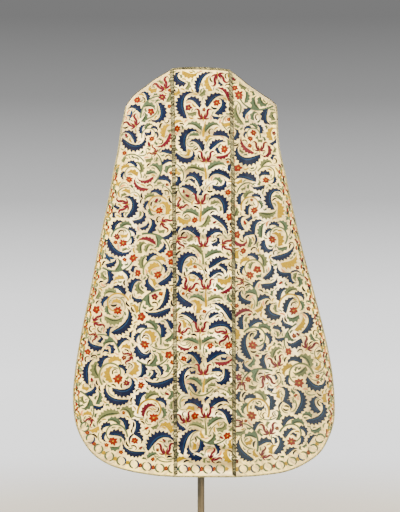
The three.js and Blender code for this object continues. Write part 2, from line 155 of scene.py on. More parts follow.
# Half width of the centre column down its two seams
BACK_COLUMN = table(
    "drop left right",
    (0.0, 0.080, 0.080),
    (0.120, 0.077, 0.083),
    (0.310, 0.074, 0.087),
    (0.700, 0.071, 0.089),
    (1.120, 0.069, 0.090),
)
FRONT_COLUMN = table(
    "drop left right",
    (0.0, 0.080, 0.080),
    (0.300, 0.072, 0.072),
    (1.040, 0.076, 0.076),
)

# Neck opening of the front, from the middle to the shoulder
FRONT_NECK = table(
    "across drop",
    (0.0, 0.128),
    (0.016, 0.126),
    (0.031, 0.116),
    (0.044, 0.090),
    (0.057, 0.050),
    (0.066, 0.025),
    (0.074, 0.009),
    (0.078, 0.002),
    (0.080, 0.0),
)

# Soft folds: where each starts and meets the hem, how far it stands out and its width
BACK_FOLDS = table(
    "top hem start out width",
    (-0.150, -0.245, 0.280, 0.008, 0.062),
    (-0.100, -0.130, 0.480, -0.005, 0.050),
    (0.030, 0.015, 0.430, 0.004, 0.060),
    (0.118, 0.165, 0.380, -0.006, 0.055),
    (0.160, 0.268, 0.260, 0.007, 0.062),
)
FRONT_FOLDS = table(
    "top hem start out width",
    (-0.110, -0.205, 0.300, 0.008, 0.055),
    (-0.080, -0.110, 0.520, -0.005, 0.048),
    (0.010, -0.005, 0.420, 0.005, 0.060),
    (0.092, 0.120, 0.450, -0.004, 0.050),
    (0.120, 0.215, 0.320, 0.007, 0.058),
)

# Creases placed one by one: middle, lean to -X as it falls, half length, half width and rise
BACK_CREASES = table(
    "x drop lean run breadth rise",
    (-0.168, 0.250, 0.16, 0.100, 0.013, 0.0022),
    (-0.120, 0.440, 0.05, 0.170, 0.015, -0.0024),
    (-0.205, 0.520, 0.20, 0.160, 0.016, 0.0030),
    (-0.262, 0.760, 0.24, 0.140, 0.019, -0.0030),
    (-0.165, 0.850, 0.08, 0.170, 0.020, 0.0030),
    (-0.215, 0.985, 0.10, 0.070, 0.014, -0.0020),
    (-0.098, 0.180, -0.30, 0.060, 0.009, -0.0016),
    (-0.034, 0.330, 0.04, 0.120, 0.012, -0.0015),
    (0.040, 0.560, -0.03, 0.180, 0.014, 0.0018),
    (-0.014, 0.860, 0.02, 0.160, 0.016, -0.0022),
    (0.120, 0.260, -0.10, 0.110, 0.012, -0.0024),
    (0.172, 0.430, -0.20, 0.160, 0.016, 0.0030),
    (0.132, 0.690, -0.05, 0.170, 0.014, -0.0022),
    (0.240, 0.690, -0.25, 0.150, 0.018, 0.0032),
    (0.298, 0.880, -0.20, 0.110, 0.020, -0.0028),
    (0.192, 0.930, -0.10, 0.130, 0.018, 0.0026),
    (0.150, 0.140, -0.75, 0.060, 0.010, 0.0016),
    (-0.150, 0.135, 0.75, 0.055, 0.010, 0.0014),
)
FRONT_CREASES = table(
    "x drop lean run breadth rise",
    (-0.120, 0.260, 0.10, 0.110, 0.013, 0.0022),
    (-0.100, 0.500, 0.06, 0.160, 0.014, -0.0024),
    (-0.160, 0.640, 0.22, 0.150, 0.016, 0.0030),
    (-0.215, 0.830, 0.20, 0.120, 0.018, -0.0026),
    (-0.130, 0.880, 0.04, 0.120, 0.017, 0.0024),
    (-0.030, 0.400, 0.06, 0.150, 0.013, -0.0018),
    (0.028, 0.660, -0.04, 0.170, 0.015, 0.0020),
    (-0.020, 0.900, 0.02, 0.110, 0.014, -0.0020),
    (0.115, 0.330, -0.08, 0.140, 0.013, -0.0022),
    (0.150, 0.600, -0.20, 0.150, 0.016, 0.0030),
    (0.120, 0.780, -0.06, 0.130, 0.014, -0.0022),
    (0.220, 0.860, -0.22, 0.110, 0.018, 0.0026),
    (0.130, 0.150, -0.60, 0.050, 0.010, 0.0016),
    (-0.125, 0.160, 0.60, 0.050, 0.010, -0.0014),
)

# Level puckers where the braids draw the cloth in
PUCKERS = table(
    "spacing phase slant rise",
    (0.0262, 0.3, 22.0, 0.0009),
    (0.0357, 4.1, -17.0, 0.0016),
    (0.0563, 2.6, -8.0, 0.0024),
)
CREASE_DEPTH = 2.2
PUCKER_REACH_IN = 0.030
PUCKER_REACH_OUT = 0.016
PUCKER_COLUMN_SHARE = 0.7
PUCKER_START = 0.030
PUCKER_GROWN = 0.080
PUCKER_SWING = 0.9
PUCKER_BEAT = 0.37


def both_sides(rows):
    """The front's edge, with the same columns as the back's."""
    return {
        "left": rows["across"],
        "left_drop": rows["drop"],
        "right": rows["across"],
        "right_drop": rows["drop"],
    }


BACK = {
    "facing": -1,
    "edge": BACK_EDGE,
    "column": BACK_COLUMN,
    "folds": BACK_FOLDS,
    "creases": BACK_CREASES,
    "flare": 0.024,
}
FRONT = {
    "facing": 1,
    "edge": both_sides(FRONT_EDGE),
    "column": FRONT_COLUMN,
    "folds": FRONT_FOLDS,
    "creases": FRONT_CREASES,
    "flare": 0.020,
}
FACES = {"back": BACK, "front": FRONT}


def mix(low, high, share):
    return low + (high - low) * share


def smooth(value, low, high):
    share = np.clip((value - low) / (high - low), 0, 1)
    return share * share * (3 - 2 * share)


def table_rows(rows):
    """Each row of a table as a dict."""
    names = list(rows)
    return [dict(zip(names, values)) for values in zip(*rows.values())]


def table_value(rows, key, column, at):
    """A column of a table at any place between its rows, on a smooth curve through them."""
    keys, values = rows[key], rows[column]
    last = len(keys) - 1
    before = np.maximum(np.arange(last + 1) - 1, 0)
    after = np.minimum(np.arange(last + 1) + 1, last)
    slopes = (values[after] - values[before]) / (keys[after] - keys[before])
    row = np.clip(np.searchsorted(keys, at) - 1, 0, last - 1)
    span = keys[row + 1] - keys[row]
    u = np.clip((at - keys[row]) / span, 0, 1)
    rise = u * u * (3 - 2 * u)
    leave = u * (1 - u) ** 2 * span * slopes[row]
    arrive = u * u * (u - 1) * span * slopes[row + 1]
    return mix(values[row], values[row + 1], rise) + leave + arrive


# The cloth's own coordinates are x and fall, the length of cloth below the shoulder line.


def neck_slant(x):
    """Drop of the line between the two neck corners."""
    return mix(CREST["left"][0], CREST["right"][0], (x + NECK_HALF) / (2 * NECK_HALF))


def back_neck_drop(x):
    return neck_slant(x) - NECK_ARCH * (1 - (x / NECK_HALF) ** 2)


def front_neck_drop(x):
    return neck_slant(x) + table_value(FRONT_NECK, "across", "drop", np.abs(x))


def crest_drop(x):
    """Drop of the shoulder line, which runs on as a low dome over the open neck."""
    across = np.abs(x)
    left = table_value(CREST, "across", "left", across)
    right = table_value(CREST, "across", "right", across)
    dome = back_neck_drop(x) - NECK_DOME * (1 - (across / NECK_HALF) ** 2)
    return np.where(across >= NECK_HALF, np.where(x < 0, left, right), dome)


def fall_to(x, drop):
    """Length of cloth from the shoulder line down to a drop."""
    below = np.maximum(drop - crest_drop(x), 0)
    rolled = ROLL_HEIGHT * np.arccos(1 - np.minimum(below, ROLL_HEIGHT) / ROLL_HEIGHT)
    return np.where(below < ROLL_HEIGHT, rolled, ROLL_HEIGHT * (math.pi / 2 - 1) + below)


def roll_depth(x):
    """Half the depth of the roll over the shoulders."""
    return mix(NECK_DEPTH, TIP_DEPTH, smooth(np.abs(x), NECK_HALF, TIP_HALF))


def creased(face, x, drop):
    """Depth of the creases placed by hand and of the puckers beside the column's seams."""
    depth = np.zeros_like(x)
    for crease in table_rows(face["creases"]):
        lean, beside, below = crease["lean"], x - crease["x"], drop - crease["drop"]
        along = below * math.cos(lean) - beside * math.sin(lean)
        across = beside * math.cos(lean) + below * math.sin(lean)
        shape = np.exp(-((along / crease["run"]) ** 2) - (across / crease["breadth"]) ** 2)
        depth = depth + CREASE_DEPTH * crease["rise"] * shape
    column = np.where(
        x < 0,
        table_value(face["column"], "drop", "left", drop),
        table_value(face["column"], "drop", "right", drop),
    )
    inside = column - np.abs(x)
    reach = np.where(inside > 0, PUCKER_REACH_IN, PUCKER_REACH_OUT)
    share = np.exp(-((inside / reach) ** 2))
    share = np.where(inside > 0, np.maximum(share, PUCKER_COLUMN_SHARE), share)
    share = share * smooth(drop - crest_drop(x), PUCKER_START, PUCKER_GROWN)
    waves = np.zeros_like(x)
    for wave in table_rows(PUCKERS):
        phase = 2 * math.pi * drop / wave["spacing"] + wave["slant"] * x + wave["phase"]
        uneven = PUCKER_SWING * np.sin(phase * PUCKER_BEAT)
        waves = waves + wave["rise"] * np.sin(phase + uneven)
    return depth + waves * share


def hang_depth(face, x, drop):
    """Flare, folds and the turn of the side edges, as a depth added below the shoulders."""
    depth = face["flare"] * smooth(drop, FLARE_START, FLARE_END)
    depth = depth - EDGE_WRAP * smooth(np.abs(x), WRAP_START, WRAP_END)
    for fold in table_rows(face["folds"]):
        share = (drop - fold["start"]) / (FLARE_END - fold["start"])
        centre = mix(fold["top"], fold["hem"], share)
        grown = smooth(drop, fold["start"], fold["start"] + FOLD_FADE)
        depth = depth + fold["out"] * grown * np.exp(-(((x - centre) / fold["width"]) ** 2))
    return depth


def cloth_point(face, x, fall):
    """Points of the cloth's outer face in space."""
    x, fall = np.broadcast_arrays(np.asarray(x, float), np.asarray(fall, float))
    roll = np.clip(fall / ROLL_HEIGHT, 0, math.pi / 2)
    straight = np.maximum(fall - roll * ROLL_HEIGHT, 0)
    drop = crest_drop(x) + ROLL_HEIGHT * (1 - np.cos(roll)) + straight
    depth = roll_depth(x) * np.sin(roll) + hang_depth(face, x, drop) + creased(face, x, drop)
    return np.stack([x, face["facing"] * depth, NECK_HEIGHT - drop], -1)


def unit(vectors):
    return vectors / np.maximum(np.linalg.norm(vectors, axis=-1, keepdims=True), 1e-12)


def lifted(surface, across, along, lift, sign):
    """Points of a surface of two coordinates, moved out of it by a lift."""
    step = SLOPE_STEP
    side = surface(across + step, along) - surface(across - step, along)
    down = surface(across, along + step) - surface(across, along - step)
    out = unit(np.cross(side, down)) * sign
    return surface(across, along) + out * np.asarray(lift)[..., None]


def line_through(stops, points=900):
    """Evenly spaced points on a smooth line through the stops."""
    ends = [2 * stops[:1] - stops[1:2], stops, 2 * stops[-1:] - stops[-2:-1]]
    stops = np.concatenate(ends)
    pieces = []
    for a, b, c, d in zip(stops, stops[1:], stops[2:], stops[3:]):
        before, during, after = (np.linalg.norm(q - p) ** 0.5 for p, q in ((a, b), (b, c), (c, d)))
        leave = (b - a) / before - (c - a) / (before + during) + (c - b) / during
        arrive = (c - b) / during - (d - b) / (during + after) + (d - c) / after
        u = np.linspace(0, 1, 60, endpoint=False)[:, None]
        rise = u * u * (3 - 2 * u)
        turn = u * (1 - u) ** 2 * leave * during + u * u * (u - 1) * arrive * during
        pieces.append(mix(b, c, rise) + turn)
    dense = np.concatenate([*pieces, stops[-2:-1]])
    return along_line(dense, np.linspace(0, 1, points))


def line_lengths(line):
    steps = np.linalg.norm(np.diff(line, axis=0), axis=1)
    return np.concatenate([[0], np.cumsum(steps)])


def between(at, lengths, values):
    """Rows of values at places between the lengths that they stand for."""
    return np.stack([np.interp(at, lengths, values[:, k]) for k in range(values.shape[1])], -1)


def along_line(line, fractions):
    """Points at fractions of a line's length."""
    lengths = line_lengths(line)
    return between(np.asarray(fractions) * lengths[-1], lengths, line)


def left_of(line):
    """Unit vectors to the left along a flat line."""
    run = unit(np.gradient(line, axis=0))
    return np.stack([-run[:, 1], run[:, 0]], -1)


def side_sign(side):
    return -1 if side == "left" else 1


def edge_line(face, side):
    """Outer edge in x and drop, from the shoulder tip round to the hem end of the seam."""
    sign = side_sign(side)
    stops = np.stack([sign * face["edge"][side], face["edge"][side + "_drop"]], -1)
    stops[0, 1] = crest_drop(stops[:1, 0])[0]
    return line_through(stops)


def column_x(face, side, drop):
    """Place of a column seam across the garment at a drop."""
    return side_sign(side) * table_value(face["column"], "drop", side, drop)


def seam_end(face, side):
    """Fall at the hem end of a column seam."""
    drop = face["edge"][side + "_drop"][-1:]
    return float(fall_to(column_x(face, side, drop), drop)[0])


def seam_x(face, side, fall):
    """Place of a column seam across the garment at a fall."""
    start = crest_drop(np.array([side_sign(side) * face["column"][side][0]]))[0]
    return column_x(face, side, start + np.maximum(fall - ROLL_HEIGHT * (math.pi / 2 - 1), 0))


def clear_of_shoulder_seam(x, fall):
    return np.maximum(fall, SEAM / 2 * ROLL_HEIGHT / roll_depth(x))


def side_panel_places(face, side):
    """Rows of places from the column seam out to the edge."""
    fractions, start = [np.zeros(1)], 0
    for until, rows in SIDE_ROWS:
        fractions.append(np.linspace(start, until, rows + 1)[1:])
        start = until
    fractions = np.concatenate(fractions)
    inner_fall = seam_end(face, side) * fractions
    inner_x = seam_x(face, side, inner_fall) + side_sign(side) * SEAM / 2
    reach = mix(fractions**EDGE_LATE_POWER, fractions, EDGE_EVEN_SHARE)
    outer = along_line(edge_line(face, side), reach)
    outer_fall = fall_to(outer[:, 0], outer[:, 1])
    share = np.linspace(0, 1, SIDE_CELLS + 1)
    x = mix(inner_x[:, None], outer[:, :1], share)
    fall = mix(inner_fall[:, None], outer_fall[:, None], share)
    x[-1], fall[-1] = inner_x[-1], inner_fall[-1]
    return x, clear_of_shoulder_seam(x, fall)


def centre_places(face, neck_drop):
    """Rows of places from the left seam to the right one."""
    fractions = np.linspace(0, 1, CENTRE_ROWS + 1)[:, None]
    falls = seam_end(face, "left") * fractions
    left = seam_x(face, "left", falls) + SEAM / 2
    right = seam_x(face, "right", falls) - SEAM / 2
    share = (1 - np.cos(np.linspace(0, math.pi, CENTRE_CELLS + 1))) / 2
    neck_x = mix(-NECK_HALF, NECK_HALF, share)
    hem_x = mix(left[-1, 0] - SEAM / 2, right[-1, 0] + SEAM / 2, share)
    edge = face["edge"]
    hem_drop = mix(edge["left_drop"][-1], edge["right_drop"][-1], share)
    neck_fall = fall_to(neck_x, neck_drop(neck_x))
    x = mix(left, right, share)
    fall = mix(neck_fall, fall_to(hem_x, hem_drop), fractions)
    return x, clear_of_shoulder_seam(x, fall)


# Colours


def dye(code):
    """A colour written as #rrggbb, in linear light."""
    parts = np.array([int(code[k : k + 2], 16) for k in (1, 3, 5)]) / 255
    return tuple(np.where(parts <= 0.04045, parts / 12.92, ((parts + 0.055) / 1.055) ** 2.4))


def colour_property(name, description, code):
    return bpy.props.FloatVectorProperty(
        name=name, description=description, default=dye(code), subtype="COLOR", size=3, min=0, max=1
    )


def share_property(name, description, default):
    return bpy.props.FloatProperty(
        name=name, description=description, default=default, min=0, max=1, subtype="FACTOR"
    )


def length_property(name, description, default):
    return bpy.props.FloatProperty(
        name=name, description=description, default=default, min=0, unit="LENGTH", precision=4
    )


class ClothSettings(bpy.types.PropertyGroup):
    column_silk: colour_property("Column silk", "Ground of the centre column", "#efe89a")
    side_silk: colour_property("Side silk", "Ground of the side panels", "#e7dc80")
    # The aged colour is also the colour of the painted shade in the hollows of the silk
    aged_silk_and_shade: colour_property("Aged silk", "Colour that the silk has gone to in patches", "#786d44")
    lining: colour_property("Lining", "Inner face of the cloth", "#8e8a70")
    rib_spacing: length_property("Rib spacing", "Distance between two ribs of the weave", 0.0007)
    wear: share_property("Wear", "How much of the silk has aged", 0.8)


class EmbroiderySettings(bpy.types.PropertyGroup):
    navy: colour_property("Navy", "Large leaves", "#020e30")
    blue: colour_property("Blue", "Lighter side of the large leaves", "#08244a")
    teal: colour_property("Teal", "Leaves and stems", "#36493e")
    green: colour_property("Green", "Veined leaves", "#4b563e")
    olive: colour_property("Olive", "Stems and veins", "#1b281e")
    gold: colour_property("Gold", "Yellow leaves", "#7c6a02")
    crimson: colour_property("Crimson", "Lilies", "#44081e")
    coral: colour_property("Coral", "Rosettes and buds", "#581208")
    ink: colour_property("Ink", "Small hooks", "#070914")
    blush: colour_property("Blush", "Faint sprigs", "#a8744a")
    haze: colour_property("Haze", "Faint leaves", "#4e5d46")
    fade: share_property("Fade", "How far the lower right panel has faded", 0.14)
    faded: colour_property("Faded", "Colour that the threads fade towards", "#566770")
    rise: length_property("Rise", "How far a satin-stitched leaf stands out", 0.0007)


class BraidSettings(bpy.types.PropertyGroup):
    olive: colour_property("Olive", "Band of the galloons", "#3e423a")
    gold: colour_property("Gold", "Gold threads", "#6c705e")
    brown: colour_property("Brown", "Tarnished threads", "#191a18")
    pale: colour_property("Pale", "Silk threads and the edge braid", "#98997c")
    plait: length_property("Plait", "Length of one crossing of the plait", 0.0042)


class StandSettings(bpy.types.PropertyGroup):
    metal: colour_property("Metal", "Pole, collar, flange and base", "#534f45")
    linen: colour_property("Linen", "Cover of the shoulder form", "#a4a68a")


class StageSettings(bpy.types.PropertyGroup):
    floor: colour_property("Floor", "Pale studio floor", "#828eaa")
    light: colour_property("Light", "Colour of the soft lights", "#ffdfa6")
    distance: length_property("Camera distance", "From the lens to the back of the garment", 5.0)
    glow: bpy.props.FloatProperty(
        name="Backdrop glow", description="Brightness of the backdrop near the floor", default=1.85, min=0
    )
    key_power: bpy.props.FloatProperty(
        name="Key light", description="Power of the main soft light", default=840, min=0, unit="POWER"
    )
    fill_power: bpy.props.FloatProperty(
        name="Fill light", description="Power of the other soft lights", default=400, min=0, unit="POWER"
    )


SETTINGS = {
    "chasuble_cloth": ClothSettings,
    "chasuble_embroidery": EmbroiderySettings,
    "chasuble_braid": BraidSettings,
    "chasuble_stand": StandSettings,
    "chasuble_stage": StageSettings,
}


# Shader nodes


class Wiring:
    """Adds nodes to one tree, with their inputs set or linked."""

    def __init__(self, tree):
        self.tree = tree
        tree.nodes.clear()

    def connect(self, socket, value):
        if isinstance(value, bpy.types.NodeSocket):
            self.tree.links.new(value, socket)
        elif hasattr(value, "__len__") and len(value) == 3 and len(socket.default_value) == 4:
            socket.default_value = (*value, 1)
        else:
            socket.default_value = value

    def add(self, kind, inputs, **options):
        node = self.tree.nodes.new("ShaderNode" + kind)
        for name, value in options.items():
            setattr(node, name, value)
        for name, value in inputs.items():
            self.connect(node.inputs[name], value)
        return node

    def math(self, operation, *values):
        inputs = dict(enumerate(values))
        return self.add("Math", inputs, operation=operation).outputs[0]

    def mixed(self, share, low, high, blend="MIX"):
        inputs = {0: share, 6: low, 7: high}
        return self.add("Mix", inputs, data_type="RGBA", blend_type=blend).outputs[2]

    def noise(self, place, scale, detail=2.0, roughness=0.5):
        inputs = {"Vector": place, "Scale": scale, "Detail": detail, "Roughness": roughness}
        return self.add("TexNoise", inputs).outputs[0]

    def stretched(self, place, scale):
        return self.add("Mapping", {"Vector": place, "Scale": scale}).outputs[0]

    def ranged(self, value, low, high, to_low=0.0, to_high=1.0):
        inputs = {0: value, 1: low, 2: high, 3: to_low, 4: to_high}
        return self.add("MapRange", inputs, interpolation_type="SMOOTHSTEP").outputs[0]


def node_group(name, inputs, outputs, build):
    """A shader node group with named sockets, made once."""
    if name in bpy.data.node_groups:
        return bpy.data.node_groups[name]
    group = bpy.data.node_groups.new(name, "ShaderNodeTree")
    for kind, sockets in (("INPUT", inputs), ("OUTPUT", outputs)):
        for label, socket in sockets.items():
            group.interface.new_socket(label, in_out=kind, socket_type="NodeSocket" + socket)
    wiring = Wiring(group)
    entry = group.nodes.new("NodeGroupInput")
    made = build(wiring, entry.outputs)
    leave = group.nodes.new("NodeGroupOutput")
    for label, value in made.items():
        wiring.connect(leave.inputs[label], value)
    return group


def build_weave(wiring, given):
    """Level ribs crossed by finer warp threads, a little uneven."""
    parts = wiring.add("SeparateXYZ", {0: given["Place"]}).outputs
    turns = wiring.math("DIVIDE", 2 * math.pi, given["Spacing"])
    uneven = wiring.math("MULTIPLY", wiring.noise(given["Place"], 60.0), 9.0)
    ribs = wiring.math("SINE", wiring.math("ADD", wiring.math("MULTIPLY", parts[1], turns), uneven))
    finer = wiring.math("MULTIPLY", turns, 2.0)
    warp = wiring.math("SINE", wiring.math("MULTIPLY", parts[0], finer))
    both = wiring.math("ADD", ribs, wiring.math("MULTIPLY", warp, 0.5))
    height = wiring.math("MULTIPLY_ADD", both, 0.33, 0.5)
    slubs = wiring.noise(wiring.stretched(given["Place"], (14.0, 700.0, 14.0)), 1.0, 3.0)
    return {"Height": height, "Slubs": wiring.ranged(slubs, 0.35, 0.7)}


def weave_group():
    inputs = {"Place": "Vector", "Spacing": "Float"}
    return node_group("Ribbed weave", inputs, {"Height": "Float", "Slubs": "Float"}, build_weave)


def build_ageing(wiring, given):
    """Patches of an older colour, broad and fine."""
    broad = wiring.noise(given["Place"], given["Scale"], 4.0, 0.6)
    fine = wiring.noise(given["Place"], wiring.math("MULTIPLY", given["Scale"], 9.0), 3.0, 0.6)
    both = wiring.math("ADD", broad, wiring.math("MULTIPLY", fine, 0.7))
    share = wiring.math("MULTIPLY", wiring.ranged(both, 0.62, 1.05), given["Amount"])
    return {"Color": wiring.mixed(share, given["Color"], given["Old color"])}


def ageing_group():
    inputs = dict.fromkeys(("Color", "Old color"), "Color")
    inputs.update({"Place": "Vector", "Scale": "Float", "Amount": "Float"})
    return node_group("Ageing", inputs, {"Color": "Color"}, build_ageing)


def build_stitches(wiring, given):
    """Threads laid side by side on a slant, from the strip's own along and across."""
    parts = wiring.add("SeparateXYZ", {0: given["Strip"]}).outputs
    slanted = wiring.math("MULTIPLY_ADD", parts[1], 0.6, parts[0])
    turns = wiring.math("DIVIDE", 2 * math.pi, given["Thread"])
    lines = wiring.math("SINE", wiring.math("MULTIPLY", slanted, turns))
    height = wiring.math("MULTIPLY_ADD", lines, 0.5, 0.5)
    uneven = wiring.noise(given["Place"], 420.0, 2.0)
    # Painted sheen and shade: the colour is lighter on the crown of each thread and darker between
    # threads, over a random tone from the noise
    both = wiring.math("MULTIPLY_ADD", height, 0.35, wiring.math("MULTIPLY", uneven, 0.9))
    shade = wiring.ranged(both, 0.3, 0.95, 0.62, 1.2)
    return {"Height": height, "Color": wiring.mixed(1.0, given["Color"], shade, "MULTIPLY")}


def stitches_group():
    inputs = {"Strip": "Vector", "Place": "Vector", "Color": "Color", "Thread": "Float"}
    outputs = {"Height": "Float", "Color": "Color"}
    return node_group("Satin stitches", inputs, outputs, build_stitches)


def new_material(name):
    material = bpy.data.materials.new(name)
    material.use_nodes = True
    return material, Wiring(material.node_tree)


def finish_material(wiring, colour, roughness, height=None, depth=0.0, **shader):
    """The shader itself, with a bump where a height is given."""
    inputs = {"Base Color": colour, "Roughness": roughness}
    inputs.update({name.replace("_", " "): value for name, value in shader.items()})
    if height is not None:
        bump = wiring.add("Bump", {"Height": height, "Distance": depth, "Strength": 1.0})
        inputs["Normal"] = bump.outputs[0]
    surface = wiring.add("BsdfPrincipled", inputs)
    wiring.add("OutputMaterial", {"Surface": surface.outputs[0]})


def mesh_value(wiring, name, output):
    """A value that the mesh carries at its points."""
    return wiring.add("Attribute", {}, attribute_name=name).outputs[output]


def own_place(wiring):
    return wiring.add("TexCoord", {}).outputs["Object"]


def ribbed(wiring, place, spacing):
    inputs = {"Place": place, "Spacing": spacing}
    return wiring.add("Group", inputs, node_tree=weave_group()).outputs


def aged(wiring, place, colour, old, scale, amount):
    inputs = {"Place": place, "Color": colour, "Old color": old, "Scale": scale, "Amount": amount}
    return wiring.add("Group", inputs, node_tree=ageing_group()).outputs["Color"]


def darker(colour, share):
    return tuple(share * part for part in colour)


# Rises of the cloth over which its colour is darkened in the hollows, a painted shade, and lightened on
# the ridges, a painted highlight
PAINTED_SHADE_RISE = (0.0010, -0.0040)
PAINTED_HIGHLIGHT_RISE = (0.0006, 0.0042)
SLUB_WHITE = (0.95, 0.92, 0.86)
# Painted highlight: the pale colour that the ridges of the silk are lightened towards
PAINTED_HIGHLIGHT_COLOUR = (1.0, 0.98, 0.80)


def silk_material(name, colour, cloth, amount, painted_light_strength):
    """Ribbed silk, darkened in its hollows, a painted shade, and lightened on its ridges, a painted
    highlight.
    """
    material, wiring = new_material(name)
    place = mesh_value(wiring, "cloth_place", "Vector")
    weave = ribbed(wiring, place, cloth.rib_spacing)
    ground = aged(wiring, place, colour, cloth.aged_silk_and_shade, 7.0, amount)
    silk_colour = wiring.mixed(weave["Slubs"], ground, wiring.mixed(0.35, ground, SLUB_WHITE))
    rise = mesh_value(wiring, "rise", "Fac")
    # Painted shade: the hollows of the creases and puckers are darkened towards the aged colour
    painted_shade = wiring.ranged(rise, *PAINTED_SHADE_RISE, 0.0, 0.8 * painted_light_strength)
    silk_colour = wiring.mixed(painted_shade, silk_colour, cloth.aged_silk_and_shade)
    # Painted highlight: the ridges of the creases and puckers are lightened towards a pale colour
    painted_highlight = wiring.ranged(rise, *PAINTED_HIGHLIGHT_RISE, 0.0, painted_light_strength)
    silk_colour = wiring.mixed(painted_highlight, silk_colour, PAINTED_HIGHLIGHT_COLOUR)
    rough = wiring.ranged(weave["Slubs"], 0.0, 1.0, 0.58, 0.44)
    sheen = {"Sheen_Weight": 0.25, "Sheen_Roughness": 0.4}
    finish_material(wiring, silk_colour, rough, weave["Height"], 0.00012, **sheen)
    return material


def lining_material(cloth):
    material, wiring = new_material("Lining")
    place = mesh_value(wiring, "cloth_place", "Vector")
    weave = ribbed(wiring, place, cloth.rib_spacing * 1.3)
    colour = aged(wiring, place, cloth.lining, darker(cloth.lining, 0.7), 5.0, 0.5)
    finish_material(wiring, colour, 0.75, weave["Height"], 0.0001, Sheen_Weight=0.1)
    return material


def thread_material(name, thread, roughness, metallic, depth):
    """Thread in the colour that its strip carries."""
    material, wiring = new_material(name)
    inputs = {
        "Color": mesh_value(wiring, "thread", "Color"),
        "Strip": mesh_value(wiring, "strip", "Vector"),
        "Place": own_place(wiring),
        "Thread": thread,
    }
    stitches = wiring.add("Group", inputs, node_tree=stitches_group()).outputs
    shader = {"Metallic": metallic, "Specular_IOR_Level": 0.07}
    finish_material(wiring, stitches["Color"], roughness, stitches["Height"], depth, **shader)
    return material


def linen_material(stand):
    material, wiring = new_material("Form linen")
    place = own_place(wiring)
    turned = wiring.add("Mapping", {"Vector": place, "Rotation": (math.pi / 2, 0, 0)}).outputs[0]
    weave = ribbed(wiring, turned, 0.0012)
    colour = aged(wiring, place, stand.linen, darker(stand.linen, 0.8), 9.0, 0.4)
    finish_material(wiring, colour, 0.85, weave["Height"], 0.0003, Sheen_Weight=0.15)
    return material


def metal_material(stand):
    material, wiring = new_material("Stand metal")
    place = own_place(wiring)
    drawn = wiring.noise(wiring.stretched(place, (900.0, 900.0, 12.0)), 1.0, 2.0)
    colour = aged(wiring, place, stand.metal, darker(stand.metal, 0.6), 14.0, 0.5)
    rough = wiring.ranged(drawn, 0.3, 0.7, 0.36, 0.5)
    finish_material(wiring, colour, rough, drawn, 0.00005, Metallic=0.55)
    return material


# Meshes


def add_object(name, data):
    made = bpy.data.objects.new(name, data)
    bpy.context.scene.collection.objects.link(made)
    return made


def add_piece(name, mesh, smooth_angle=40):
    """A mesh as a piece of the object, riding with the frame."""
    piece = add_object(name, mesh)
    mesh.shade_smooth()
    mesh.set_sharp_from_angle(angle=math.radians(smooth_angle))
    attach(piece, "root")
    return piece


def point_values(mesh, name, kind, field, values):
    layer = mesh.attributes.new(name, kind, "POINT")
    layer.data.foreach_set(field, np.asarray(values, np.float32).ravel())


def border_of(grid):
    """Values round the border of a grid, in order."""
    return np.concatenate([grid[:, 0], grid[-1, 1:], grid[-2::-1, -1], grid[0, -2:0:-1]])


def shell_mesh(name, outer, inner, places, rise):
    """A closed wall between two grids of points with the same rows."""
    height, width = outer.shape[:2]
    index = np.arange(height * width).reshape(height, width)
    a, b, c, d = index[:-1, :-1], index[1:, :-1], index[1:, 1:], index[:-1, 1:]
    face = np.stack([a, b, c, d], -1).reshape(-1, 4)
    back = face[:, ::-1] + index.size
    border = border_of(index)
    following = np.roll(border, -1)
    rim = np.stack([border, border + index.size, following + index.size, following], -1)
    mesh = bpy.data.meshes.new(name)
    points = np.concatenate([outer.reshape(-1, 3), inner.reshape(-1, 3)])
    faces = np.concatenate([face, back, rim])
    mesh.from_pydata(points.tolist(), [], faces.tolist())
    finishes = np.zeros(len(faces), np.int32)
    finishes[len(face) : 2 * len(face)] = 1
    mesh.polygons.foreach_set("material_index", finishes)
    flat = np.concatenate([places.reshape(-1, 2)] * 2)
    point_values(mesh, "cloth_place", "FLOAT_VECTOR", "vector", np.pad(flat, ((0, 0), (0, 1))))
    point_values(mesh, "rise", "FLOAT", "value", np.concatenate([rise.ravel()] * 2))
    shell = bmesh.new()
    shell.from_mesh(mesh)
    bmesh.ops.remove_doubles(shell, verts=shell.verts, dist=1e-6)
    bmesh.ops.recalc_face_normals(shell, faces=shell.faces)
    shell.to_mesh(mesh)
    shell.free()
    return mesh


def cloth_surface(face):
    return lambda x, fall: cloth_point(face, x, fall)


def panel_mesh(name, face, x, fall):
    surface = cloth_surface(face)
    outer = surface(x, fall)
    inner = lifted(surface, x, fall, -WALL, face["facing"])
    drop = NECK_HEIGHT - outer[..., 2]
    return shell_mesh(name, outer, inner, np.stack([x, fall], -1), creased(face, x, drop))


NECKS = {"back": back_neck_drop, "front": front_neck_drop}
PANELS = {}
for facing, cut in FACES.items():
    PANELS[facing + "_left"] = (cut, side_panel_places(cut, "left"))
    PANELS[facing + "_centre"] = (cut, centre_places(cut, NECKS[facing]))
    PANELS[facing + "_right"] = (cut, side_panel_places(cut, "right"))


# Thread work: strips of thread drawn flat, then laid on a surface as one mesh

THREAD_FOOT = 0.0005
UPPER_FOOT = 0.0006


class Strip:
    """One strip of thread along a spine, with its half widths to the left and right."""

    def __init__(self, spine, left, right, thread, rise=1.0, foot=0.0):
        self.spine = np.asarray(spine, float)
        self.left = np.broadcast_to(np.asarray(left, float), len(self.spine))
        self.right = np.broadcast_to(np.asarray(right, float), len(self.spine))
        self.thread = thread
        self.rise = rise
        self.foot = foot

    def border(self):
        side = left_of(self.spine)
        return self.spine + side * self.left[:, None], self.spine - side * self.right[:, None]

    def moved(self, at, turn=0.0):
        """The strip turned about the origin, then moved."""
        cos, sin = math.cos(turn), math.sin(turn)
        spine = self.spine @ np.array([[cos, sin], [-sin, cos]]) + at
        return Strip(spine, self.left, self.right, self.thread, self.rise, self.foot)


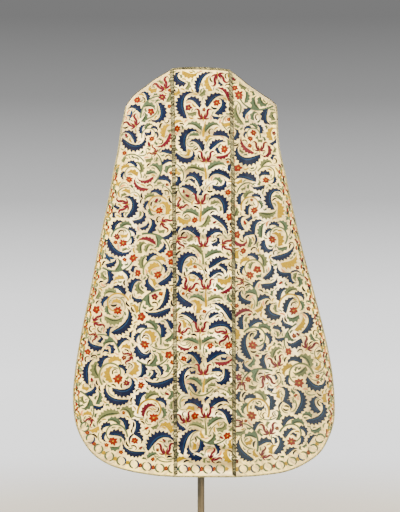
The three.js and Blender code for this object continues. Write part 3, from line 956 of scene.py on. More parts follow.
class Threads:
    """Strips gathered for one piece."""

    def __init__(self, palette, rise, jitter, rng, fade=None):
        self.palette = palette
        self.fade = fade
        self.rise = rise
        self.jitter = jitter
        self.rng = rng
        self.strips = []

    def add(self, strips):
        self.strips.extend(strips)

    def mesh(self, name, surface, sign):
        places, lifts, colours, runs, faces = [], [], [], [], []
        count = 0
        for strip in self.strips:
            left, right = strip.border()
            middle = (left + right) / 2
            length = len(middle)
            foot = THREAD_FOOT + strip.foot
            width = strip.left + strip.right
            full = np.clip(width / max(width.max(), 1e-9), 0.25, 1)
            crown = foot + self.rise * strip.rise * full
            places.append(np.stack([left, middle, right], 1).reshape(-1, 2))
            lifts.append(np.stack([np.full(length, foot), crown, np.full(length, foot)], 1).ravel())
            shade = self.palette[strip.thread] * (1 + self.jitter * self.rng.uniform(-1, 1))
            if self.fade:
                shade = mix(shade, *self.fade(strip.spine.mean(0)[1]))
            colours.append(np.tile(np.append(shade, 1), (3 * length, 1)))
            along = np.repeat(line_lengths(middle), 3)
            across = np.stack([strip.left, 0 * width, -strip.right], 1).ravel()
            runs.append(np.stack([along, across, 0 * along], -1))
            start = count + 3 * np.arange(length - 1)[:, None]
            for corners in ((0, 1, 4, 3), (1, 2, 5, 4), (2, 0, 3, 5)):
                faces.extend((start + np.array(corners)).tolist())
            faces.append([count, count + 2, count + 1])
            end = count + 3 * (length - 1)
            faces.append([end, end + 1, end + 2])
            count += 3 * length
        places = np.concatenate(places)
        points = lifted(surface, places[:, 0], places[:, 1], np.concatenate(lifts), sign)
        if sign < 0:
            faces = [corners[::-1] for corners in faces]
        mesh = bpy.data.meshes.new(name)
        mesh.from_pydata(points.tolist(), [], faces)
        point_values(mesh, "thread", "FLOAT_COLOR", "color", np.concatenate(colours))
        point_values(mesh, "strip", "FLOAT_VECTOR", "vector", np.concatenate(runs))
        return mesh


def curl(start, heading, length, bend, stations, tighten=0.0):
    """A line that leaves start at a heading and bends, more sharply towards its end."""
    share = (np.arange(stations - 1) + 0.5) / (stations - 1)
    angle = heading + bend * mix(share, share**2, tighten)
    steps = np.stack([np.cos(angle), np.sin(angle)], -1) * length / (stations - 1)
    return np.concatenate([[start], np.asarray(start) + np.cumsum(steps, axis=0)])


def heading_at(spine, k):
    step = spine[min(k + 1, len(spine) - 1)] - spine[max(k - 1, 0)]
    return math.atan2(step[1], step[0])


TIP = 0.00025


def leaf(start, heading, length, bend, width, thread, teeth=6, vein=None):
    """A curling leaf, with teeth along its outer side that point to its tip."""
    stations = 3 * teeth + 2
    spine = curl(start, heading, length, bend, stations, 0.6)
    share = np.linspace(0, 1, stations)
    body = width / 2 * np.sin(math.pi * share**0.72)
    outer = np.maximum(body * (0.75 + 1.2 * ((share * teeth) % 1)), TIP)
    inner = np.maximum(body * 0.9, TIP)
    left, right = (inner, outer) if bend > 0 else (outer, inner)
    made = [Strip(spine, left, right, thread)]
    if vein:
        side = np.stack([-np.sin(heading + bend * share), np.cos(heading + bend * share)], -1)
        middle = (spine + side * (math.copysign(0.3, bend) * body)[:, None])[2:-4:2]
        half = np.maximum(body[2:-4:2] * VEIN_SHARE.get(thread, USUAL_VEIN_SHARE), TIP)
        made.append(Strip(middle, half, half, vein, 0.25, UPPER_FOOT))
    return made


def arc_strip(start, heading, length, bend, width, thread, stations=9, tighten=0.5, blunt=0.35):
    """A smooth tapering line, such as a petal, a stem or a hook."""
    spine = curl(start, heading, length, bend, stations, tighten)
    share = np.linspace(0, 1, stations)
    half = np.maximum(width / 2 * mix(np.sin(math.pi * share) ** 0.6, 1 - share**2, blunt), TIP)
    return Strip(spine, half, half, thread, 0.8)


UP = -math.pi / 2
LEAF_VEINS = {"navy": "blue", "teal": "olive", "green": "olive"}
VEIN_SHARE = {"navy": 0.17}
USUAL_VEIN_SHARE = 0.22


def lily(size, thread, heart):
    """A lily seen from the side, its petals curled out at their tips."""
    made = []
    for side in (-1, 1):
        rising = curl((0, size * 0.3), UP + side * 1.25, size * 0.62, -side * 1.35, 8)
        turning = curl(rising[-1], UP - side * 0.1, size * 0.55, side * 3.2, 9, 0.3)
        spine = np.concatenate([rising, turning[1:]])
        share = np.linspace(0, 1, len(spine))
        half = np.maximum(size * 0.085 * (0.7 + 0.4 * np.sin(math.pi * share)) * (1 - share**5), TIP)
        made.append(Strip(spine, half, half, thread, 0.8))
        low = (0, size * 0.28)
        made.append(arc_strip(low, UP + side * 1.9, size * 0.5, -side * 1.1, size * 0.14, thread, 8))
        made.append(arc_strip(low, UP + side * 0.5, size * 0.45, -side * 0.3, size * 0.13, thread, 7))
    made.append(arc_strip((0, size * 0.5), UP, size * 0.42, 0.2, size * 0.11, heart, 6, 0, 0.5))
    return made


def rosette(size, petals, thread, heart):
    made = []
    for k in range(petals):
        angle = 2 * math.pi * k / petals + UP
        start = np.array([math.cos(angle), math.sin(angle)]) * size * 0.08
        width = size * (2.2 + 0.4 * math.sin(5.1 * k)) / petals
        reach = size * (0.42 + 0.06 * math.sin(2.3 * k))
        made.append(arc_strip(start, angle, reach, 0.3, width, thread, 7, 0, 0.2))
    made.append(arc_strip((-size * 0.1, 0), 0, size * 0.2, 0.0, size * 0.2, heart, 5, 0, 0))
    made[-1].foot = UPPER_FOOT
    return made


def bud(size, thread, green):
    made = [arc_strip((0, 0), UP, size * 0.7, 0.3, size * 0.42, thread, 7, 0.3, 0.2)]
    for side in (-1, 1):
        made.append(
            arc_strip((0, size * 0.08), UP + side * 0.7, size * 0.5, side * 0.9, size * 0.14, green, 6)
        )
    made.append(arc_strip((0, size * 0.05), -UP, size * 0.5, 0.6, size * 0.08, green, 6))
    return made


def hook(size, thread):
    """A small curled tendril with a full end."""
    return [arc_strip((0, 0), UP, size * 2.0, 3.8, size * 0.34, thread, 11, 0.5, 0.8)]


def crook(size, thread):
    return [arc_strip((0, 0), UP, size * 1.4, 1.7, size * 0.44, thread, 8, 0.5, 0.2)]


def spray(size, thread, stem):
    """Three small leaves on a stem."""
    made = [arc_strip((0, 0), UP, size, 0.5, size * 0.12, stem, 7, 0.2, 0.9)]
    for side, at, reach in ((-1, 0.35, 0.5), (1, 0.55, 0.5), (-1, 0.8, 0.4)):
        start = (size * 0.12 * at, -size * at)
        made.append(
            arc_strip(start, UP + side * 0.8, size * reach, side * 1.0, size * 0.24, thread, 6)
        )
    return made


def butterfly(size, wing, spot, body):
    made = []
    for side in (-1, 1):
        made.append(arc_strip((0, 0), UP + side * 0.85, size * 0.6, side * 0.7, size * 0.3, wing, 8))
        made.append(arc_strip((0, 0), UP + side * 1.9, size * 0.42, side * 0.5, size * 0.24, wing, 7))
        at = (side * size * 0.27, -size * 0.25)
        made.append(arc_strip(at, UP, size * 0.12, 0, size * 0.12, spot, 4, 0, 0.2))
    for strip in made:
        if strip.thread == spot:
            strip.foot = UPPER_FOOT
    made.append(arc_strip((0, size * 0.24), UP, size * 0.55, 0, size * 0.09, body, 6))
    return made


def bird(size, wing, breast, beak):
    body = arc_strip((-size * 0.4, size * 0.02), 0.1, size * 0.8, -0.5, size * 0.26, wing, 9, 0.3, 0.2)
    made = [body, arc_strip((-size * 0.1, 0), -2.2, size * 0.45, 1.0, size * 0.17, wing, 7)]
    made.append(arc_strip((-size * 0.3, size * 0.1), 0.2, size * 0.45, -0.6, size * 0.14, breast, 6))
    made.append(arc_strip((size * 0.36, -size * 0.06), -0.2, size * 0.14, 0.2, size * 0.07, beak, 4))
    made.append(arc_strip((-size * 0.36, 0), 2.9, size * 0.3, 0.2, size * 0.12, wing, 5))
    return made


def ring(size, thread, second):
    """Two half rings that pass each other."""
    made = []
    for side, heading, colour in ((-1, 0, thread), (1, math.pi, second)):
        start = (0, side * size / 2)
        made.append(arc_strip(start, heading, size * 1.5, 2.9, size * 0.25, colour, 12, 0.1))
    return made


def scroll(size, turning, leaves, stem, flower):
    """A stem that curls in on a flower, with leaves along its outer side."""
    spine = curl((0, 0), UP, size * 3.4, turning * 4.6, 22, 0.35)
    half = mix(size * 0.075, size * 0.05, np.linspace(0, 1, 22))
    made = [Strip(spine, half, half, stem, 0.5)]
    for k, thread in zip((3, 7, 11, 15), leaves):
        heading = heading_at(spine, k) - turning * 0.75
        length = size * (1.6 - 0.04 * k)
        vein = LEAF_VEINS.get(thread)
        made += leaf(spine[k], heading, length, turning * 2.6, length * 0.26, thread, 6, vein)
    for strip in flower:
        made.append(strip.moved(spine[-1], heading_at(spine, 21) - UP))
    return made


def fork(size, turning, thread, vein, tip):
    """Two leaves that part from one foot, with a bud between them and a tendril below."""
    made = leaf((0, 0), UP + turning * 0.1, size, turning * 2.8, size * 0.24, thread, 7, vein)
    second = size * 0.75
    made += leaf((0, 0), UP - turning * 0.6, second, -turning * 2.4, second * 0.27, thread, 5, vein)
    made.append(arc_strip((0, 0), -UP, size * 0.6, turning * 1.8, size * 0.12, thread, 9, 0.5, 0.5))
    at = (-turning * size * 0.12, -size * 0.6)
    made += [strip.moved(at) for strip in bud(size * 0.32, tip, "green")]
    return made


def branch(size, turning, leaves, stem, flower):
    """A bowed stem with leaves on alternate sides and a flower at its end."""
    spine = curl((0, 0), UP - turning * 0.7, size * 1.6, turning * 1.9, 16, 0.5)
    half = np.linspace(size * 0.045, size * 0.028, 16)
    made = [Strip(spine, half, half, stem, 0.5)]
    for k, (at, thread) in enumerate(zip((2, 5, 8, 11), leaves)):
        side = turning if k % 2 else -turning
        length = size * (0.86 - 0.03 * at)
        heading = heading_at(spine, at) + side * 0.5
        vein = LEAF_VEINS.get(thread)
        made += leaf(spine[at], heading, length, side * 2.4, length * 0.27, thread, 5, vein)
    made += [strip.moved(spine[-1], heading_at(spine, 15) - UP) for strip in flower]
    return made


class Ground:
    """A map of where a panel is still bare."""

    CELL = 0.00125

    def __init__(self, outline):
        self.low = outline.min(0) - 0.01
        size = ((outline.max(0) + 0.01 - self.low) / self.CELL).astype(int) + 1
        self.taken = np.ones((size[1], size[0]), bool)
        following = np.roll(outline, -1, axis=0)
        for row in range(size[1]):
            drop = self.low[1] + (row + 0.5) * self.CELL
            crosses = (outline[:, 1] > drop) != (following[:, 1] > drop)
            start, end = outline[crosses], following[crosses]
            share = (drop - start[:, 1]) / (end[:, 1] - start[:, 1])
            places = np.sort(mix(start[:, 0], end[:, 0], share))
            for enter, leave in zip(places[::2], places[1::2]):
                first, last = ((np.array([enter, leave]) - self.low[0]) / self.CELL).astype(int)
                self.taken[row, first + 1 : last] = False

    def cells(self, points):
        place = ((points - self.low) / self.CELL).astype(int)
        limit = np.array(self.taken.shape[::-1]) - 1
        return np.moveaxis(np.clip(place, 0, limit), -1, 0)

    def covered(self, points):
        across, down = self.cells(points)
        return self.taken[down, across]

    def free(self, strip):
        return not any(self.covered(edge).any() for edge in strip.border())

    def take(self, points, radii):
        for point, radius in zip(points, radii):
            reach = radius / self.CELL
            side = np.arange(-math.ceil(reach), math.ceil(reach) + 1)
            beside, below = np.meshgrid(side, side)
            near = beside**2 + below**2 <= reach**2
            across, down = self.cells(point)
            rows = np.clip(down + below[near], 0, self.taken.shape[0] - 1)
            columns = np.clip(across + beside[near], 0, self.taken.shape[1] - 1)
            self.taken[rows, columns] = True

    def take_line(self, line, radius):
        self.take(line, np.full(len(line), radius))

    def take_strips(self, strips, gap):
        for strip in strips:
            left, right = strip.border()
            self.take((left + right) / 2, (strip.left + strip.right) / 2 + gap)

    def spots(self, rng, count):
        bare = rng.choice(np.flatnonzero(~self.taken), count)
        rows, columns = np.divmod(bare, self.taken.shape[1])
        return self.low + (np.stack([columns, rows], -1) + 0.5) * self.CELL


PLACES_TRIED = 500
TURN_SPREAD = 1.3
NEARBY = 1.35
PLACED_GAP = 0.0018


def borders_of(strips):
    return np.concatenate([np.concatenate(strip.border()) for strip in strips])


def centred(strips):
    """A motif moved so that its middle is at the origin."""
    points = borders_of(strips)
    middle = (points.min(0) + points.max(0)) / 2
    return [strip.moved(-middle) for strip in strips]


def place_free(threads, ground, strips):
    """Lays those strips of a motif that are clear of what is there."""
    kept = [strip for strip in strips if ground.free(strip)]
    threads.add(kept)
    ground.take_strips(kept, PLACED_GAP)


def scatter(threads, ground, rng, make, most, gap):
    """Fills bare places with a motif, each in the tightest of the places tried for it."""
    for _ in range(most):
        motif = centred(make(rng))
        points = borders_of(motif)
        spots = ground.spots(rng, PLACES_TRIED)
        turns = rng.normal(0, TURN_SPREAD, PLACES_TRIED)
        cos, sin = np.cos(turns)[:, None], np.sin(turns)[:, None]
        across, down = points.T
        tried = np.stack([across * cos - down * sin, across * sin + down * cos], -1)
        clear = np.flatnonzero(~ground.covered(tried + spots[:, None]).any(1))
        if len(clear):
            near = ground.covered(tried[clear] * NEARBY + spots[clear, None]).mean(1)
            best = clear[near.argmax()]
            strips = [strip.moved(spots[best], turns[best]) for strip in motif]
            threads.add(strips)
            ground.take_strips(strips, gap)


def handed(rng):
    return 1 if rng.random() < 0.5 else -1


def either(rng, first, second):
    return (first, second)[int(rng.integers(2))]


def draw_leaf(thread, shortest, longest, broad=0.25):
    """A maker of curling leaves of one colour."""

    def make(rng):
        length = rng.uniform(shortest, longest)
        bend = handed(rng) * rng.uniform(1.5, 3.8)
        teeth = max(3, round(length / 0.0085))
        width = length * broad * rng.uniform(0.88, 1.1)
        return leaf((0, 0), UP - bend / 2, length, bend, width, thread, teeth, LEAF_VEINS.get(thread))

    return make


def draw_fork(thread, shortest, longest):
    def make(rng):
        size = rng.uniform(shortest, longest)
        return fork(size, handed(rng), thread, LEAF_VEINS.get(thread), "coral")

    return make


def draw_branch(leaves, stem, shortest, longest):
    def make(rng):
        size = rng.uniform(shortest, longest)
        flower = draw_rosette(size * 0.34, size * 0.38)(rng)
        if rng.random() < 0.5:
            flower = lily(size * 0.42, "crimson", "gold")
        return branch(size, handed(rng), leaves, stem, flower)

    return make


def draw_curl(thread, shortest, longest, width):
    """A maker of plain curling lines, such as stems."""

    def make(rng):
        length = rng.uniform(shortest, longest)
        bend = handed(rng) * rng.uniform(1.8, 3.6)
        start = (0, 0)
        return [arc_strip(start, UP - bend / 2, length, bend, length * width, thread, 14, 0.5, 0.6)]

    return make


def draw_rosette(smallest, largest):
    def make(rng):
        thread = "crimson" if rng.random() < 0.25 else "coral"
        return rosette(rng.uniform(smallest, largest), int(rng.integers(5, 8)), thread, "gold")

    return make


def draw(motif, smallest, largest, *threads):
    """A maker of one of the smaller motifs."""
    return lambda rng: motif(rng.uniform(smallest, largest), *threads)


# What fills each panel, in the order in which it is laid: motif, how many and the bare gap round it
FILLS = (
    (draw_branch(("navy", "teal", "navy"), "teal", 0.058, 0.072), 10, 0.0010),
    (draw_leaf("navy", 0.080, 0.105, 0.18), 13, 0.0009),
    (draw_fork("navy", 0.054, 0.068), 11, 0.0010),
    (draw(lily, 0.030, 0.040, "crimson", "gold"), 9, 0.0010),
    (draw_branch(("green", "navy", "gold"), "green", 0.054, 0.066), 9, 0.0010),
    (draw_branch(("teal", "green", "teal"), "gold", 0.048, 0.060), 9, 0.0010),
    (draw_leaf("crimson", 0.050, 0.068, 0.16), 5, 0.0009),
    (draw_leaf("navy", 0.056, 0.074), 27, 0.0008),
    (draw_leaf("green", 0.066, 0.090, 0.20), 24, 0.0008),
    (draw_leaf("gold", 0.048, 0.064, 0.26), 16, 0.0008),
    (draw_curl("teal", 0.060, 0.095, 0.06), 14, 0.0008),
    (draw_curl("green", 0.060, 0.095, 0.06), 20, 0.0008),
    (draw_fork("teal", 0.040, 0.052), 16, 0.0008),
    (draw_leaf("green", 0.046, 0.060, 0.29), 36, 0.0008),
    (draw_rosette(0.018, 0.024), 11, 0.0009),
    (draw_leaf("navy", 0.038, 0.054, 0.29), 60, 0.0007),
    (draw_leaf("teal", 0.034, 0.050, 0.28), 56, 0.0007),
    (draw(butterfly, 0.026, 0.032, "blue", "gold", "ink"), 2, 0.0010),
    (draw(bird, 0.028, 0.034, "blue", "coral", "gold"), 2, 0.0010),
    (draw_leaf("gold", 0.028, 0.042, 0.30), 36, 0.0007),
    (draw_leaf("green", 0.030, 0.042, 0.30), 80, 0.0006),
    (draw_curl("haze", 0.034, 0.060, 0.10), 40, 0.0007),
    (draw(bud, 0.016, 0.022, "crimson", "green"), 12, 0.0008),
    (draw_leaf("navy", 0.024, 0.038, 0.31), 100, 0.0006),
    (draw(hook, 0.011, 0.015, "ink"), 30, 0.0008),
    (draw_rosette(0.010, 0.016), 20, 0.0008),
    (draw_leaf("green", 0.020, 0.034, 0.32), 160, 0.0006),
    (draw(crook, 0.011, 0.015, "ink"), 40, 0.0006),
    (draw(spray, 0.016, 0.024, "teal", "green"), 150, 0.0005),
    (draw_leaf("teal", 0.014, 0.022, 0.34), 220, 0.0004),
    (draw(crook, 0.009, 0.013, "gold"), 60, 0.0005),
    (draw(crook, 0.009, 0.014, "blush"), 50, 0.0005),
    (draw(crook, 0.008, 0.013, "haze"), 360, 0.0003),
)


# Scrolls of a side panel: share of the way from the seam to the edge, drop, size and turn
SCROLLS = table(
    "share drop size turning",
    (0.46, 0.190, 0.024, 1),
    (0.68, 0.300, 0.029, -1),
    (0.28, 0.385, 0.031, -1),
    (0.70, 0.470, 0.033, 1),
    (0.27, 0.560, 0.034, 1),
    (0.68, 0.655, 0.036, -1),
    (0.26, 0.750, 0.038, -1),
    (0.66, 0.850, 0.041, 1),
    (0.24, 0.945, 0.040, 1),
    (0.58, 1.010, 0.036, -1),
)
SCROLL_LEAVES = (
    ("navy", "teal", "navy", "navy"),
    ("green", "navy", "gold", "navy"),
    ("navy", "green", "navy", "teal"),
)

SCROLL_STEMS = ("teal", "green", "gold")
SCROLL_LEAN = 0.2
SCROLL_SWAY = 0.5
SCROLL_BEAT = 2.4

# Share of the fill that lies on each side panel
FILL_SHARE = {"left": 1, "right": 0.7}

# Column: size of a candelabrum, its step, where the first and last stand and how they sway
COLUMN_SIZE = 0.098
COLUMN_STEP = 0.116
COLUMN_FIRST = 0.130
COLUMN_LAST = 1.055
COLUMN_MIDDLE = 0.006
COLUMN_SWAY = 0.009
COLUMN_BEAT = 2.1

# Widths kept free of the fill
EDGE_PLAIN = 0.003
SIDE_BORDER = 0.018
HEM_BORDER = 0.037
SHOULDER_PLAIN = 0.008
SEAM_PLAIN = 0.001
NECK_PLAIN = 0.008

# Drops over which the side border widens, and heights above the hem for the hem border
SIDE_BORDER_FROM = 0.19
SIDE_BORDER_FULL = 0.28
HEM_BORDER_FROM = 0.16
HEM_BORDER_FULL = 0.05


def edge_x(face, side, drop):
    """Outer edge at a drop, above the hem."""
    line = edge_line(face, side)
    widest = int(np.abs(line[:, 0]).argmax())
    return np.interp(drop, line[: widest + 1, 1], line[: widest + 1, 0])


def side_outline(face, side):
    """Outline of a side panel in x and drop."""
    edge = edge_line(face, side)
    drops = np.linspace(edge[-1, 1], crest_drop(np.array([side_sign(side) * NECK_HALF]))[0], 200)
    seam = column_x(face, side, drops)
    crest_x = np.linspace(seam[-1], edge[0, 0], 60)
    crest = np.stack([crest_x, crest_drop(crest_x)], -1)
    return edge, np.stack([seam, drops], -1), crest


def side_ground(face, side):
    edge, seam, crest = side_outline(face, side)
    ground = Ground(np.concatenate([edge, seam[1:], crest[1:-1]]))
    lowest = edge[-1, 1]
    hem = smooth(edge[:, 1], lowest - HEM_BORDER_FROM, lowest - HEM_BORDER_FULL)
    widened = smooth(edge[:, 1], SIDE_BORDER_FROM, SIDE_BORDER_FULL)
    plain = mix(EDGE_PLAIN, SIDE_BORDER, widened)
    ground.take(edge[::4], mix(plain, HEM_BORDER, hem)[::4])
    ground.take_line(crest, SHOULDER_PLAIN)
    ground.take_line(seam, SEAM_PLAIN)
    return ground


def embroider_side(threads, face, side, rng):
    ground = side_ground(face, side)
    sign = side_sign(side)
    for k, row in enumerate(table_rows(SCROLLS)):
        drop = row["drop"] - 0.5 * row["size"]
        seam = column_x(face, side, np.array([drop]))[0]
        x = mix(seam, float(edge_x(face, side, drop)), row["share"])
        turning = row["turning"] * -sign
        flower = rosette(row["size"] * 0.7, 7, "coral", "gold")
        leaves = SCROLL_LEAVES[k % len(SCROLL_LEAVES)]
        stem = SCROLL_STEMS[k % len(SCROLL_STEMS)]
        strips = centred(scroll(row["size"], turning, leaves, stem, flower))
        turn = sign * SCROLL_LEAN + SCROLL_SWAY * math.sin(SCROLL_BEAT * k)
        place_free(threads, ground, [strip.moved((x, drop), turn) for strip in strips])
    for make, most, gap in FILLS:
        scatter(threads, ground, rng, make, round(most * FILL_SHARE[side]), gap)


def column_outline(face):
    drops = np.linspace(face["edge"]["left_drop"][-1], 0.0, 200)
    return [np.stack([column_x(face, side, drops), drops], -1) for side in ("left", "right")]


def candelabrum(rng, size):
    """A lily at the foot of two rising leaves, on a stem over two arching ones."""
    sway = rng.uniform(-0.4, 0.4)
    stem = either(rng, "green", "gold")
    made = [arc_strip((0, size * 0.62), UP, size * 0.5, sway, size * 0.07, stem, 9, 0, 0.9)]
    made += lily(size * 0.38, "crimson", "gold")
    for side in (-1, 1):
        reach = rng.uniform(0.55, 0.74) * size
        foot = (side * 0.10 * size, -size * rng.uniform(0.08, 0.2))
        bend = side * rng.uniform(1.5, 2.8)
        heading = UP + side * rng.uniform(-0.1, 0.6)
        made += leaf(foot, heading, reach, bend, reach * 0.24, "navy", 7, "blue")
        reach = rng.uniform(0.48, 0.64) * size
        foot = (side * 0.04 * size, size * rng.uniform(0.36, 0.50))
        thread = either(rng, "green", "teal")
        heading = UP + side * rng.uniform(0.3, 0.9)
        bend = side * rng.uniform(1.6, 2.5)
        made += leaf(foot, heading, reach, bend, reach * 0.21, thread, 6, "olive")
    return made


def embroider_column(threads, face, neck_drop, rng):
    left, right = column_outline(face)
    x = np.linspace(right[-1, 0], left[-1, 0], 80)
    neck = np.stack([x, neck_drop(x)], -1)
    ground = Ground(np.concatenate([left, neck[::-1], right[::-1]]))
    ground.take_line(left, SEAM_PLAIN)
    ground.take_line(right, SEAM_PLAIN)
    ground.take_line(neck, NECK_PLAIN)
    ground.take_line(np.linspace(left[0], right[0], 60), HEM_BORDER)
    count = int((COLUMN_LAST - COLUMN_FIRST) / COLUMN_STEP) + 1
    for k in range(count):
        drop = COLUMN_FIRST + k * COLUMN_STEP
        middle = COLUMN_SWAY * math.sin(COLUMN_BEAT * k) + COLUMN_MIDDLE
        strips = candelabrum(rng, COLUMN_SIZE)
        place_free(threads, ground, [strip.moved((middle, drop)) for strip in strips])
    for make, most, gap in FILLS:
        scatter(threads, ground, rng, make, most, gap)


# Borders: how far in from the edge each row runs and how far apart its motifs stand
RING_SIZE = 0.022
RING_INSET = 0.022
RING_SPACING = 0.0168
RING_END = 0.012
LEAF_INSETS = (0.0065, 0.0135)
LEAF_SPACING = 0.0076
BORDER_INSIDE = (0.0, 0.7)

# Points of the edge line: where the leaves start, and how far past the widest place they run
LEAVES_START = 120
LEAVES_PAST = 60


def inset_line(line, inset, inside):
    """A line moved sideways towards a point inside."""
    side = left_of(line)
    towards = np.sign(np.sum(side * (inside - line), -1, keepdims=True))
    return line + side * towards * inset


def border_motifs(threads, line, spacing, motifs, rng):
    """Motifs set one after another along a line."""
    count = int(line_lengths(line)[-1] / spacing)
    places = along_line(line, (np.arange(count) + 0.5) / count)
    for k, place in enumerate(places):
        nearby = places[min(k + 1, count - 1)] - places[max(k - 1, 0)]
        turn = math.atan2(nearby[1], nearby[0])
        strips = motifs[k % len(motifs)](rng)
        threads.add([strip.moved(place, turn) for strip in strips])


def small_flower(rng):
    thread = either(rng, "coral", "gold")
    return rosette(rng.uniform(0.012, 0.015), 5, thread, "gold")


def border_ring(rng):
    return ring(RING_SIZE, either(rng, "blue", "teal"), "teal")


def border_leaf(thread):
    def make(rng):
        bend = handed(rng) * 1.5
        return [arc_strip((-0.006, 0), -bend / 2, 0.014, bend, 0.0062, thread, 7)]

    return make


BORDER_THREADS = {
    "left": (("green", "gold", "teal", "coral", "gold"), ("gold", "green", "haze", "olive", "coral")),
    "right": (("ink", "haze", "gold", "blush"), ("crimson", "haze", "coral", "ink", "gold", "haze")),
}


def embroider_borders(threads, face, side, rng):
    edge = edge_line(face, side)
    split = int(np.abs(edge[:, 0]).argmax()) + LEAVES_PAST
    rings = inset_line(edge[split:], RING_INSET, BORDER_INSIDE)
    border_motifs(threads, rings, RING_SPACING, (border_ring, small_flower), rng)
    for inset, colours in zip(LEAF_INSETS, BORDER_THREADS[side]):
        leaves = inset_line(edge[LEAVES_START:split], inset, BORDER_INSIDE)
        motifs = [border_leaf(thread) for thread in colours] + [draw_rosette(0.006, 0.008)]
        border_motifs(threads, leaves, LEAF_SPACING, motifs, rng)


def embroider_column_hem(threads, face, rng):
    hem = np.stack([face["column"][side][-1:] * side_sign(side) for side in ("left", "right")])
    drop = face["edge"]["left_drop"][-1] - RING_INSET
    line = np.array([[hem[0, 0] + RING_END, drop], [hem[1, 0] - RING_END, drop]])
    border_motifs(threads, line, RING_SPACING, (border_ring, small_flower), rng)


# Braids


# Threads of the braids, and how often each crosses the plait
BRAID_THREADS = ("gold", "olive", "brown", "pale")
BRAID_CHANCES = (0.34, 0.24, 0.28, 0.14)

# Shares of a braid's half width: where its threads turn, where its cords lie and half of each
PLAIT_REACH = 0.8
PLAIT_THREAD = 0.2
CORD_PLACE = 0.86
CORD_THREAD = 0.14

BRAID_STATION = 0.004
PLAIT_FOOT = 0.0004
PLAIT_OVER = 0.0001
CORD_FOOT = 0.0003


def plait(length, half, step, rng, at=(0, 0), cords=True):
    """A band with crossing threads over it, and a cord along each side."""
    stations = max(int(length / BRAID_STATION), 2)
    spine = np.stack([np.zeros(stations), np.linspace(0, length, stations)], -1)
    made = [Strip(spine, half, half, "olive", 0.35)]
    thin, reach = half * PLAIT_THREAD, half * PLAIT_REACH
    for k in range(int(length / step)):
        for side in (-1, 1):
            thread = BRAID_THREADS[int(rng.choice(4, p=BRAID_CHANCES))]
            start = np.array([-side * reach, (k + 0.1) * step])
            end = np.array([side * reach, (k + 1.25) * step])
            run = np.linspace(start, np.minimum(end, (half, length)), 4)
            foot = PLAIT_FOOT + PLAIT_OVER * side
            made.append(Strip(run, thin, thin, thread, 0.9, foot))
    if cords:
        cord = half * CORD_THREAD
        for side in (-1, 1):
            beside = spine + (side * half * CORD_PLACE, 0)
            made.append(Strip(beside, cord, cord, "brown", 1.0, CORD_FOOT))
    for strip in made:
        strip.spine = strip.spine + at
    return made


def path_surface(points, inward):
    """A flat ribbon along a line in space, with coordinates across and along it."""
    lengths = line_lengths(points)

    def surface(across, along):
        at = np.clip(along, 0, lengths[-1])
        spare = along - at
        first, last = unit(points[1] - points[0]), unit(points[-1] - points[-2])
        beyond = np.where(along[..., None] < 0, first, last) * spare[..., None]
        side = unit(between(at, lengths, inward))
        return between(at, lengths, points) + beyond + side * across[..., None]

    return surface, float(lengths[-1])


def seam_surface(face, side):
    def surface(across, along):
        fall = np.maximum(along, 0)
        return cloth_point(face, seam_x(face, side, fall) + across, along)

    return surface


def shoulder_surface(side):
    """Across is over the shoulder line, from the back to the front, and along runs out."""
    sign = side_sign(side)

    def surface(across, along):
        x = sign * (NECK_HALF + along)
        fall = np.abs(across) * ROLL_HEIGHT / roll_depth(x)
        front = cloth_point(FRONT, x, fall)
        back = cloth_point(BACK, x, fall)
        return np.where((across > 0)[..., None], front, back)

    return surface


def border_frame(face, line):
    """A line in x and fall as points in space, the way in to the cloth and the side of the face."""
    x, fall = line[:, 0], line[:, 1]
    surface = cloth_surface(face)
    points = surface(x, fall)
    out = unit(lifted(surface, x, fall, np.ones(len(x)), face["facing"]) - points)
    inward = unit(np.cross(out, unit(np.gradient(points, axis=0))))
    middle = surface(np.zeros(1), np.full(1, 0.6))
    turn = 1 if np.mean(np.sum(inward * (middle - points), -1)) > 0 else -1
    return points, inward * turn, -turn


def edge_path(face):
    """The whole outer edge in x and fall: down one side, along the hem and up the other."""
    left, right = edge_line(face, "left"), edge_line(face, "right")[::-1]
    hem = np.linspace(left[-1], right[0], 40)[1:-1]
    line = np.concatenate([left, hem, right])
    fall = fall_to(line[:, 0], line[:, 1])
    start = GALLOON_HALF * ROLL_HEIGHT / TIP_DEPTH + SEAM
    return np.stack([line[:, 0], np.maximum(fall, start)], -1)


def galloon_material():
    if "Galloon thread" in bpy.data.materials:
        return bpy.data.materials["Galloon thread"]
    return thread_material("Galloon thread", 0.0005, 0.45, 0.05, 0.0001)


def palette_of(settings, names):
    return {name: np.array(getattr(settings, name)) for name in names}


def sew_braid(name, node, threads, surface, sign, strips, lie):
    """Lays the strips of a braid on a surface, as a piece that stands for a solid."""
    for strip in strips:
        strip.foot += lie
    threads.add(strips)
    mesh = threads.mesh(name, surface, sign)
    mesh.materials.append(galloon_material())
    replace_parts(add_piece(name, mesh), node)


EMBROIDERY_THREADS = "navy blue teal green olive gold crimson coral ink blush haze".split()

# Seeds of the draws
EMBROIDERY_SEED = 40
GALLOON_SEED = 7
EDGE_BRAID_SEED = 11

# How much the shade of single strips varies
EMBROIDERY_JITTER = 0.15
GALLOON_JITTER = 0.25
EDGE_BRAID_JITTER = 0.2

# How far braids stand out, how far they lie off the cloth and the share of their width that shows
GALLOON_RISE = 0.0007
GALLOON_LIE = 0.0001
GALLOON_SHARE = 0.96
NECK_BRAID_LIE = 0.0007
NECK_BRAID_SHARE = 0.95
NECK_BRAID_REACH = 0.955
EDGE_BRAID_RISE = 0.0006
EDGE_BRAID_LIE = 0.0002
EDGE_BRAID_SHARE = 0.95


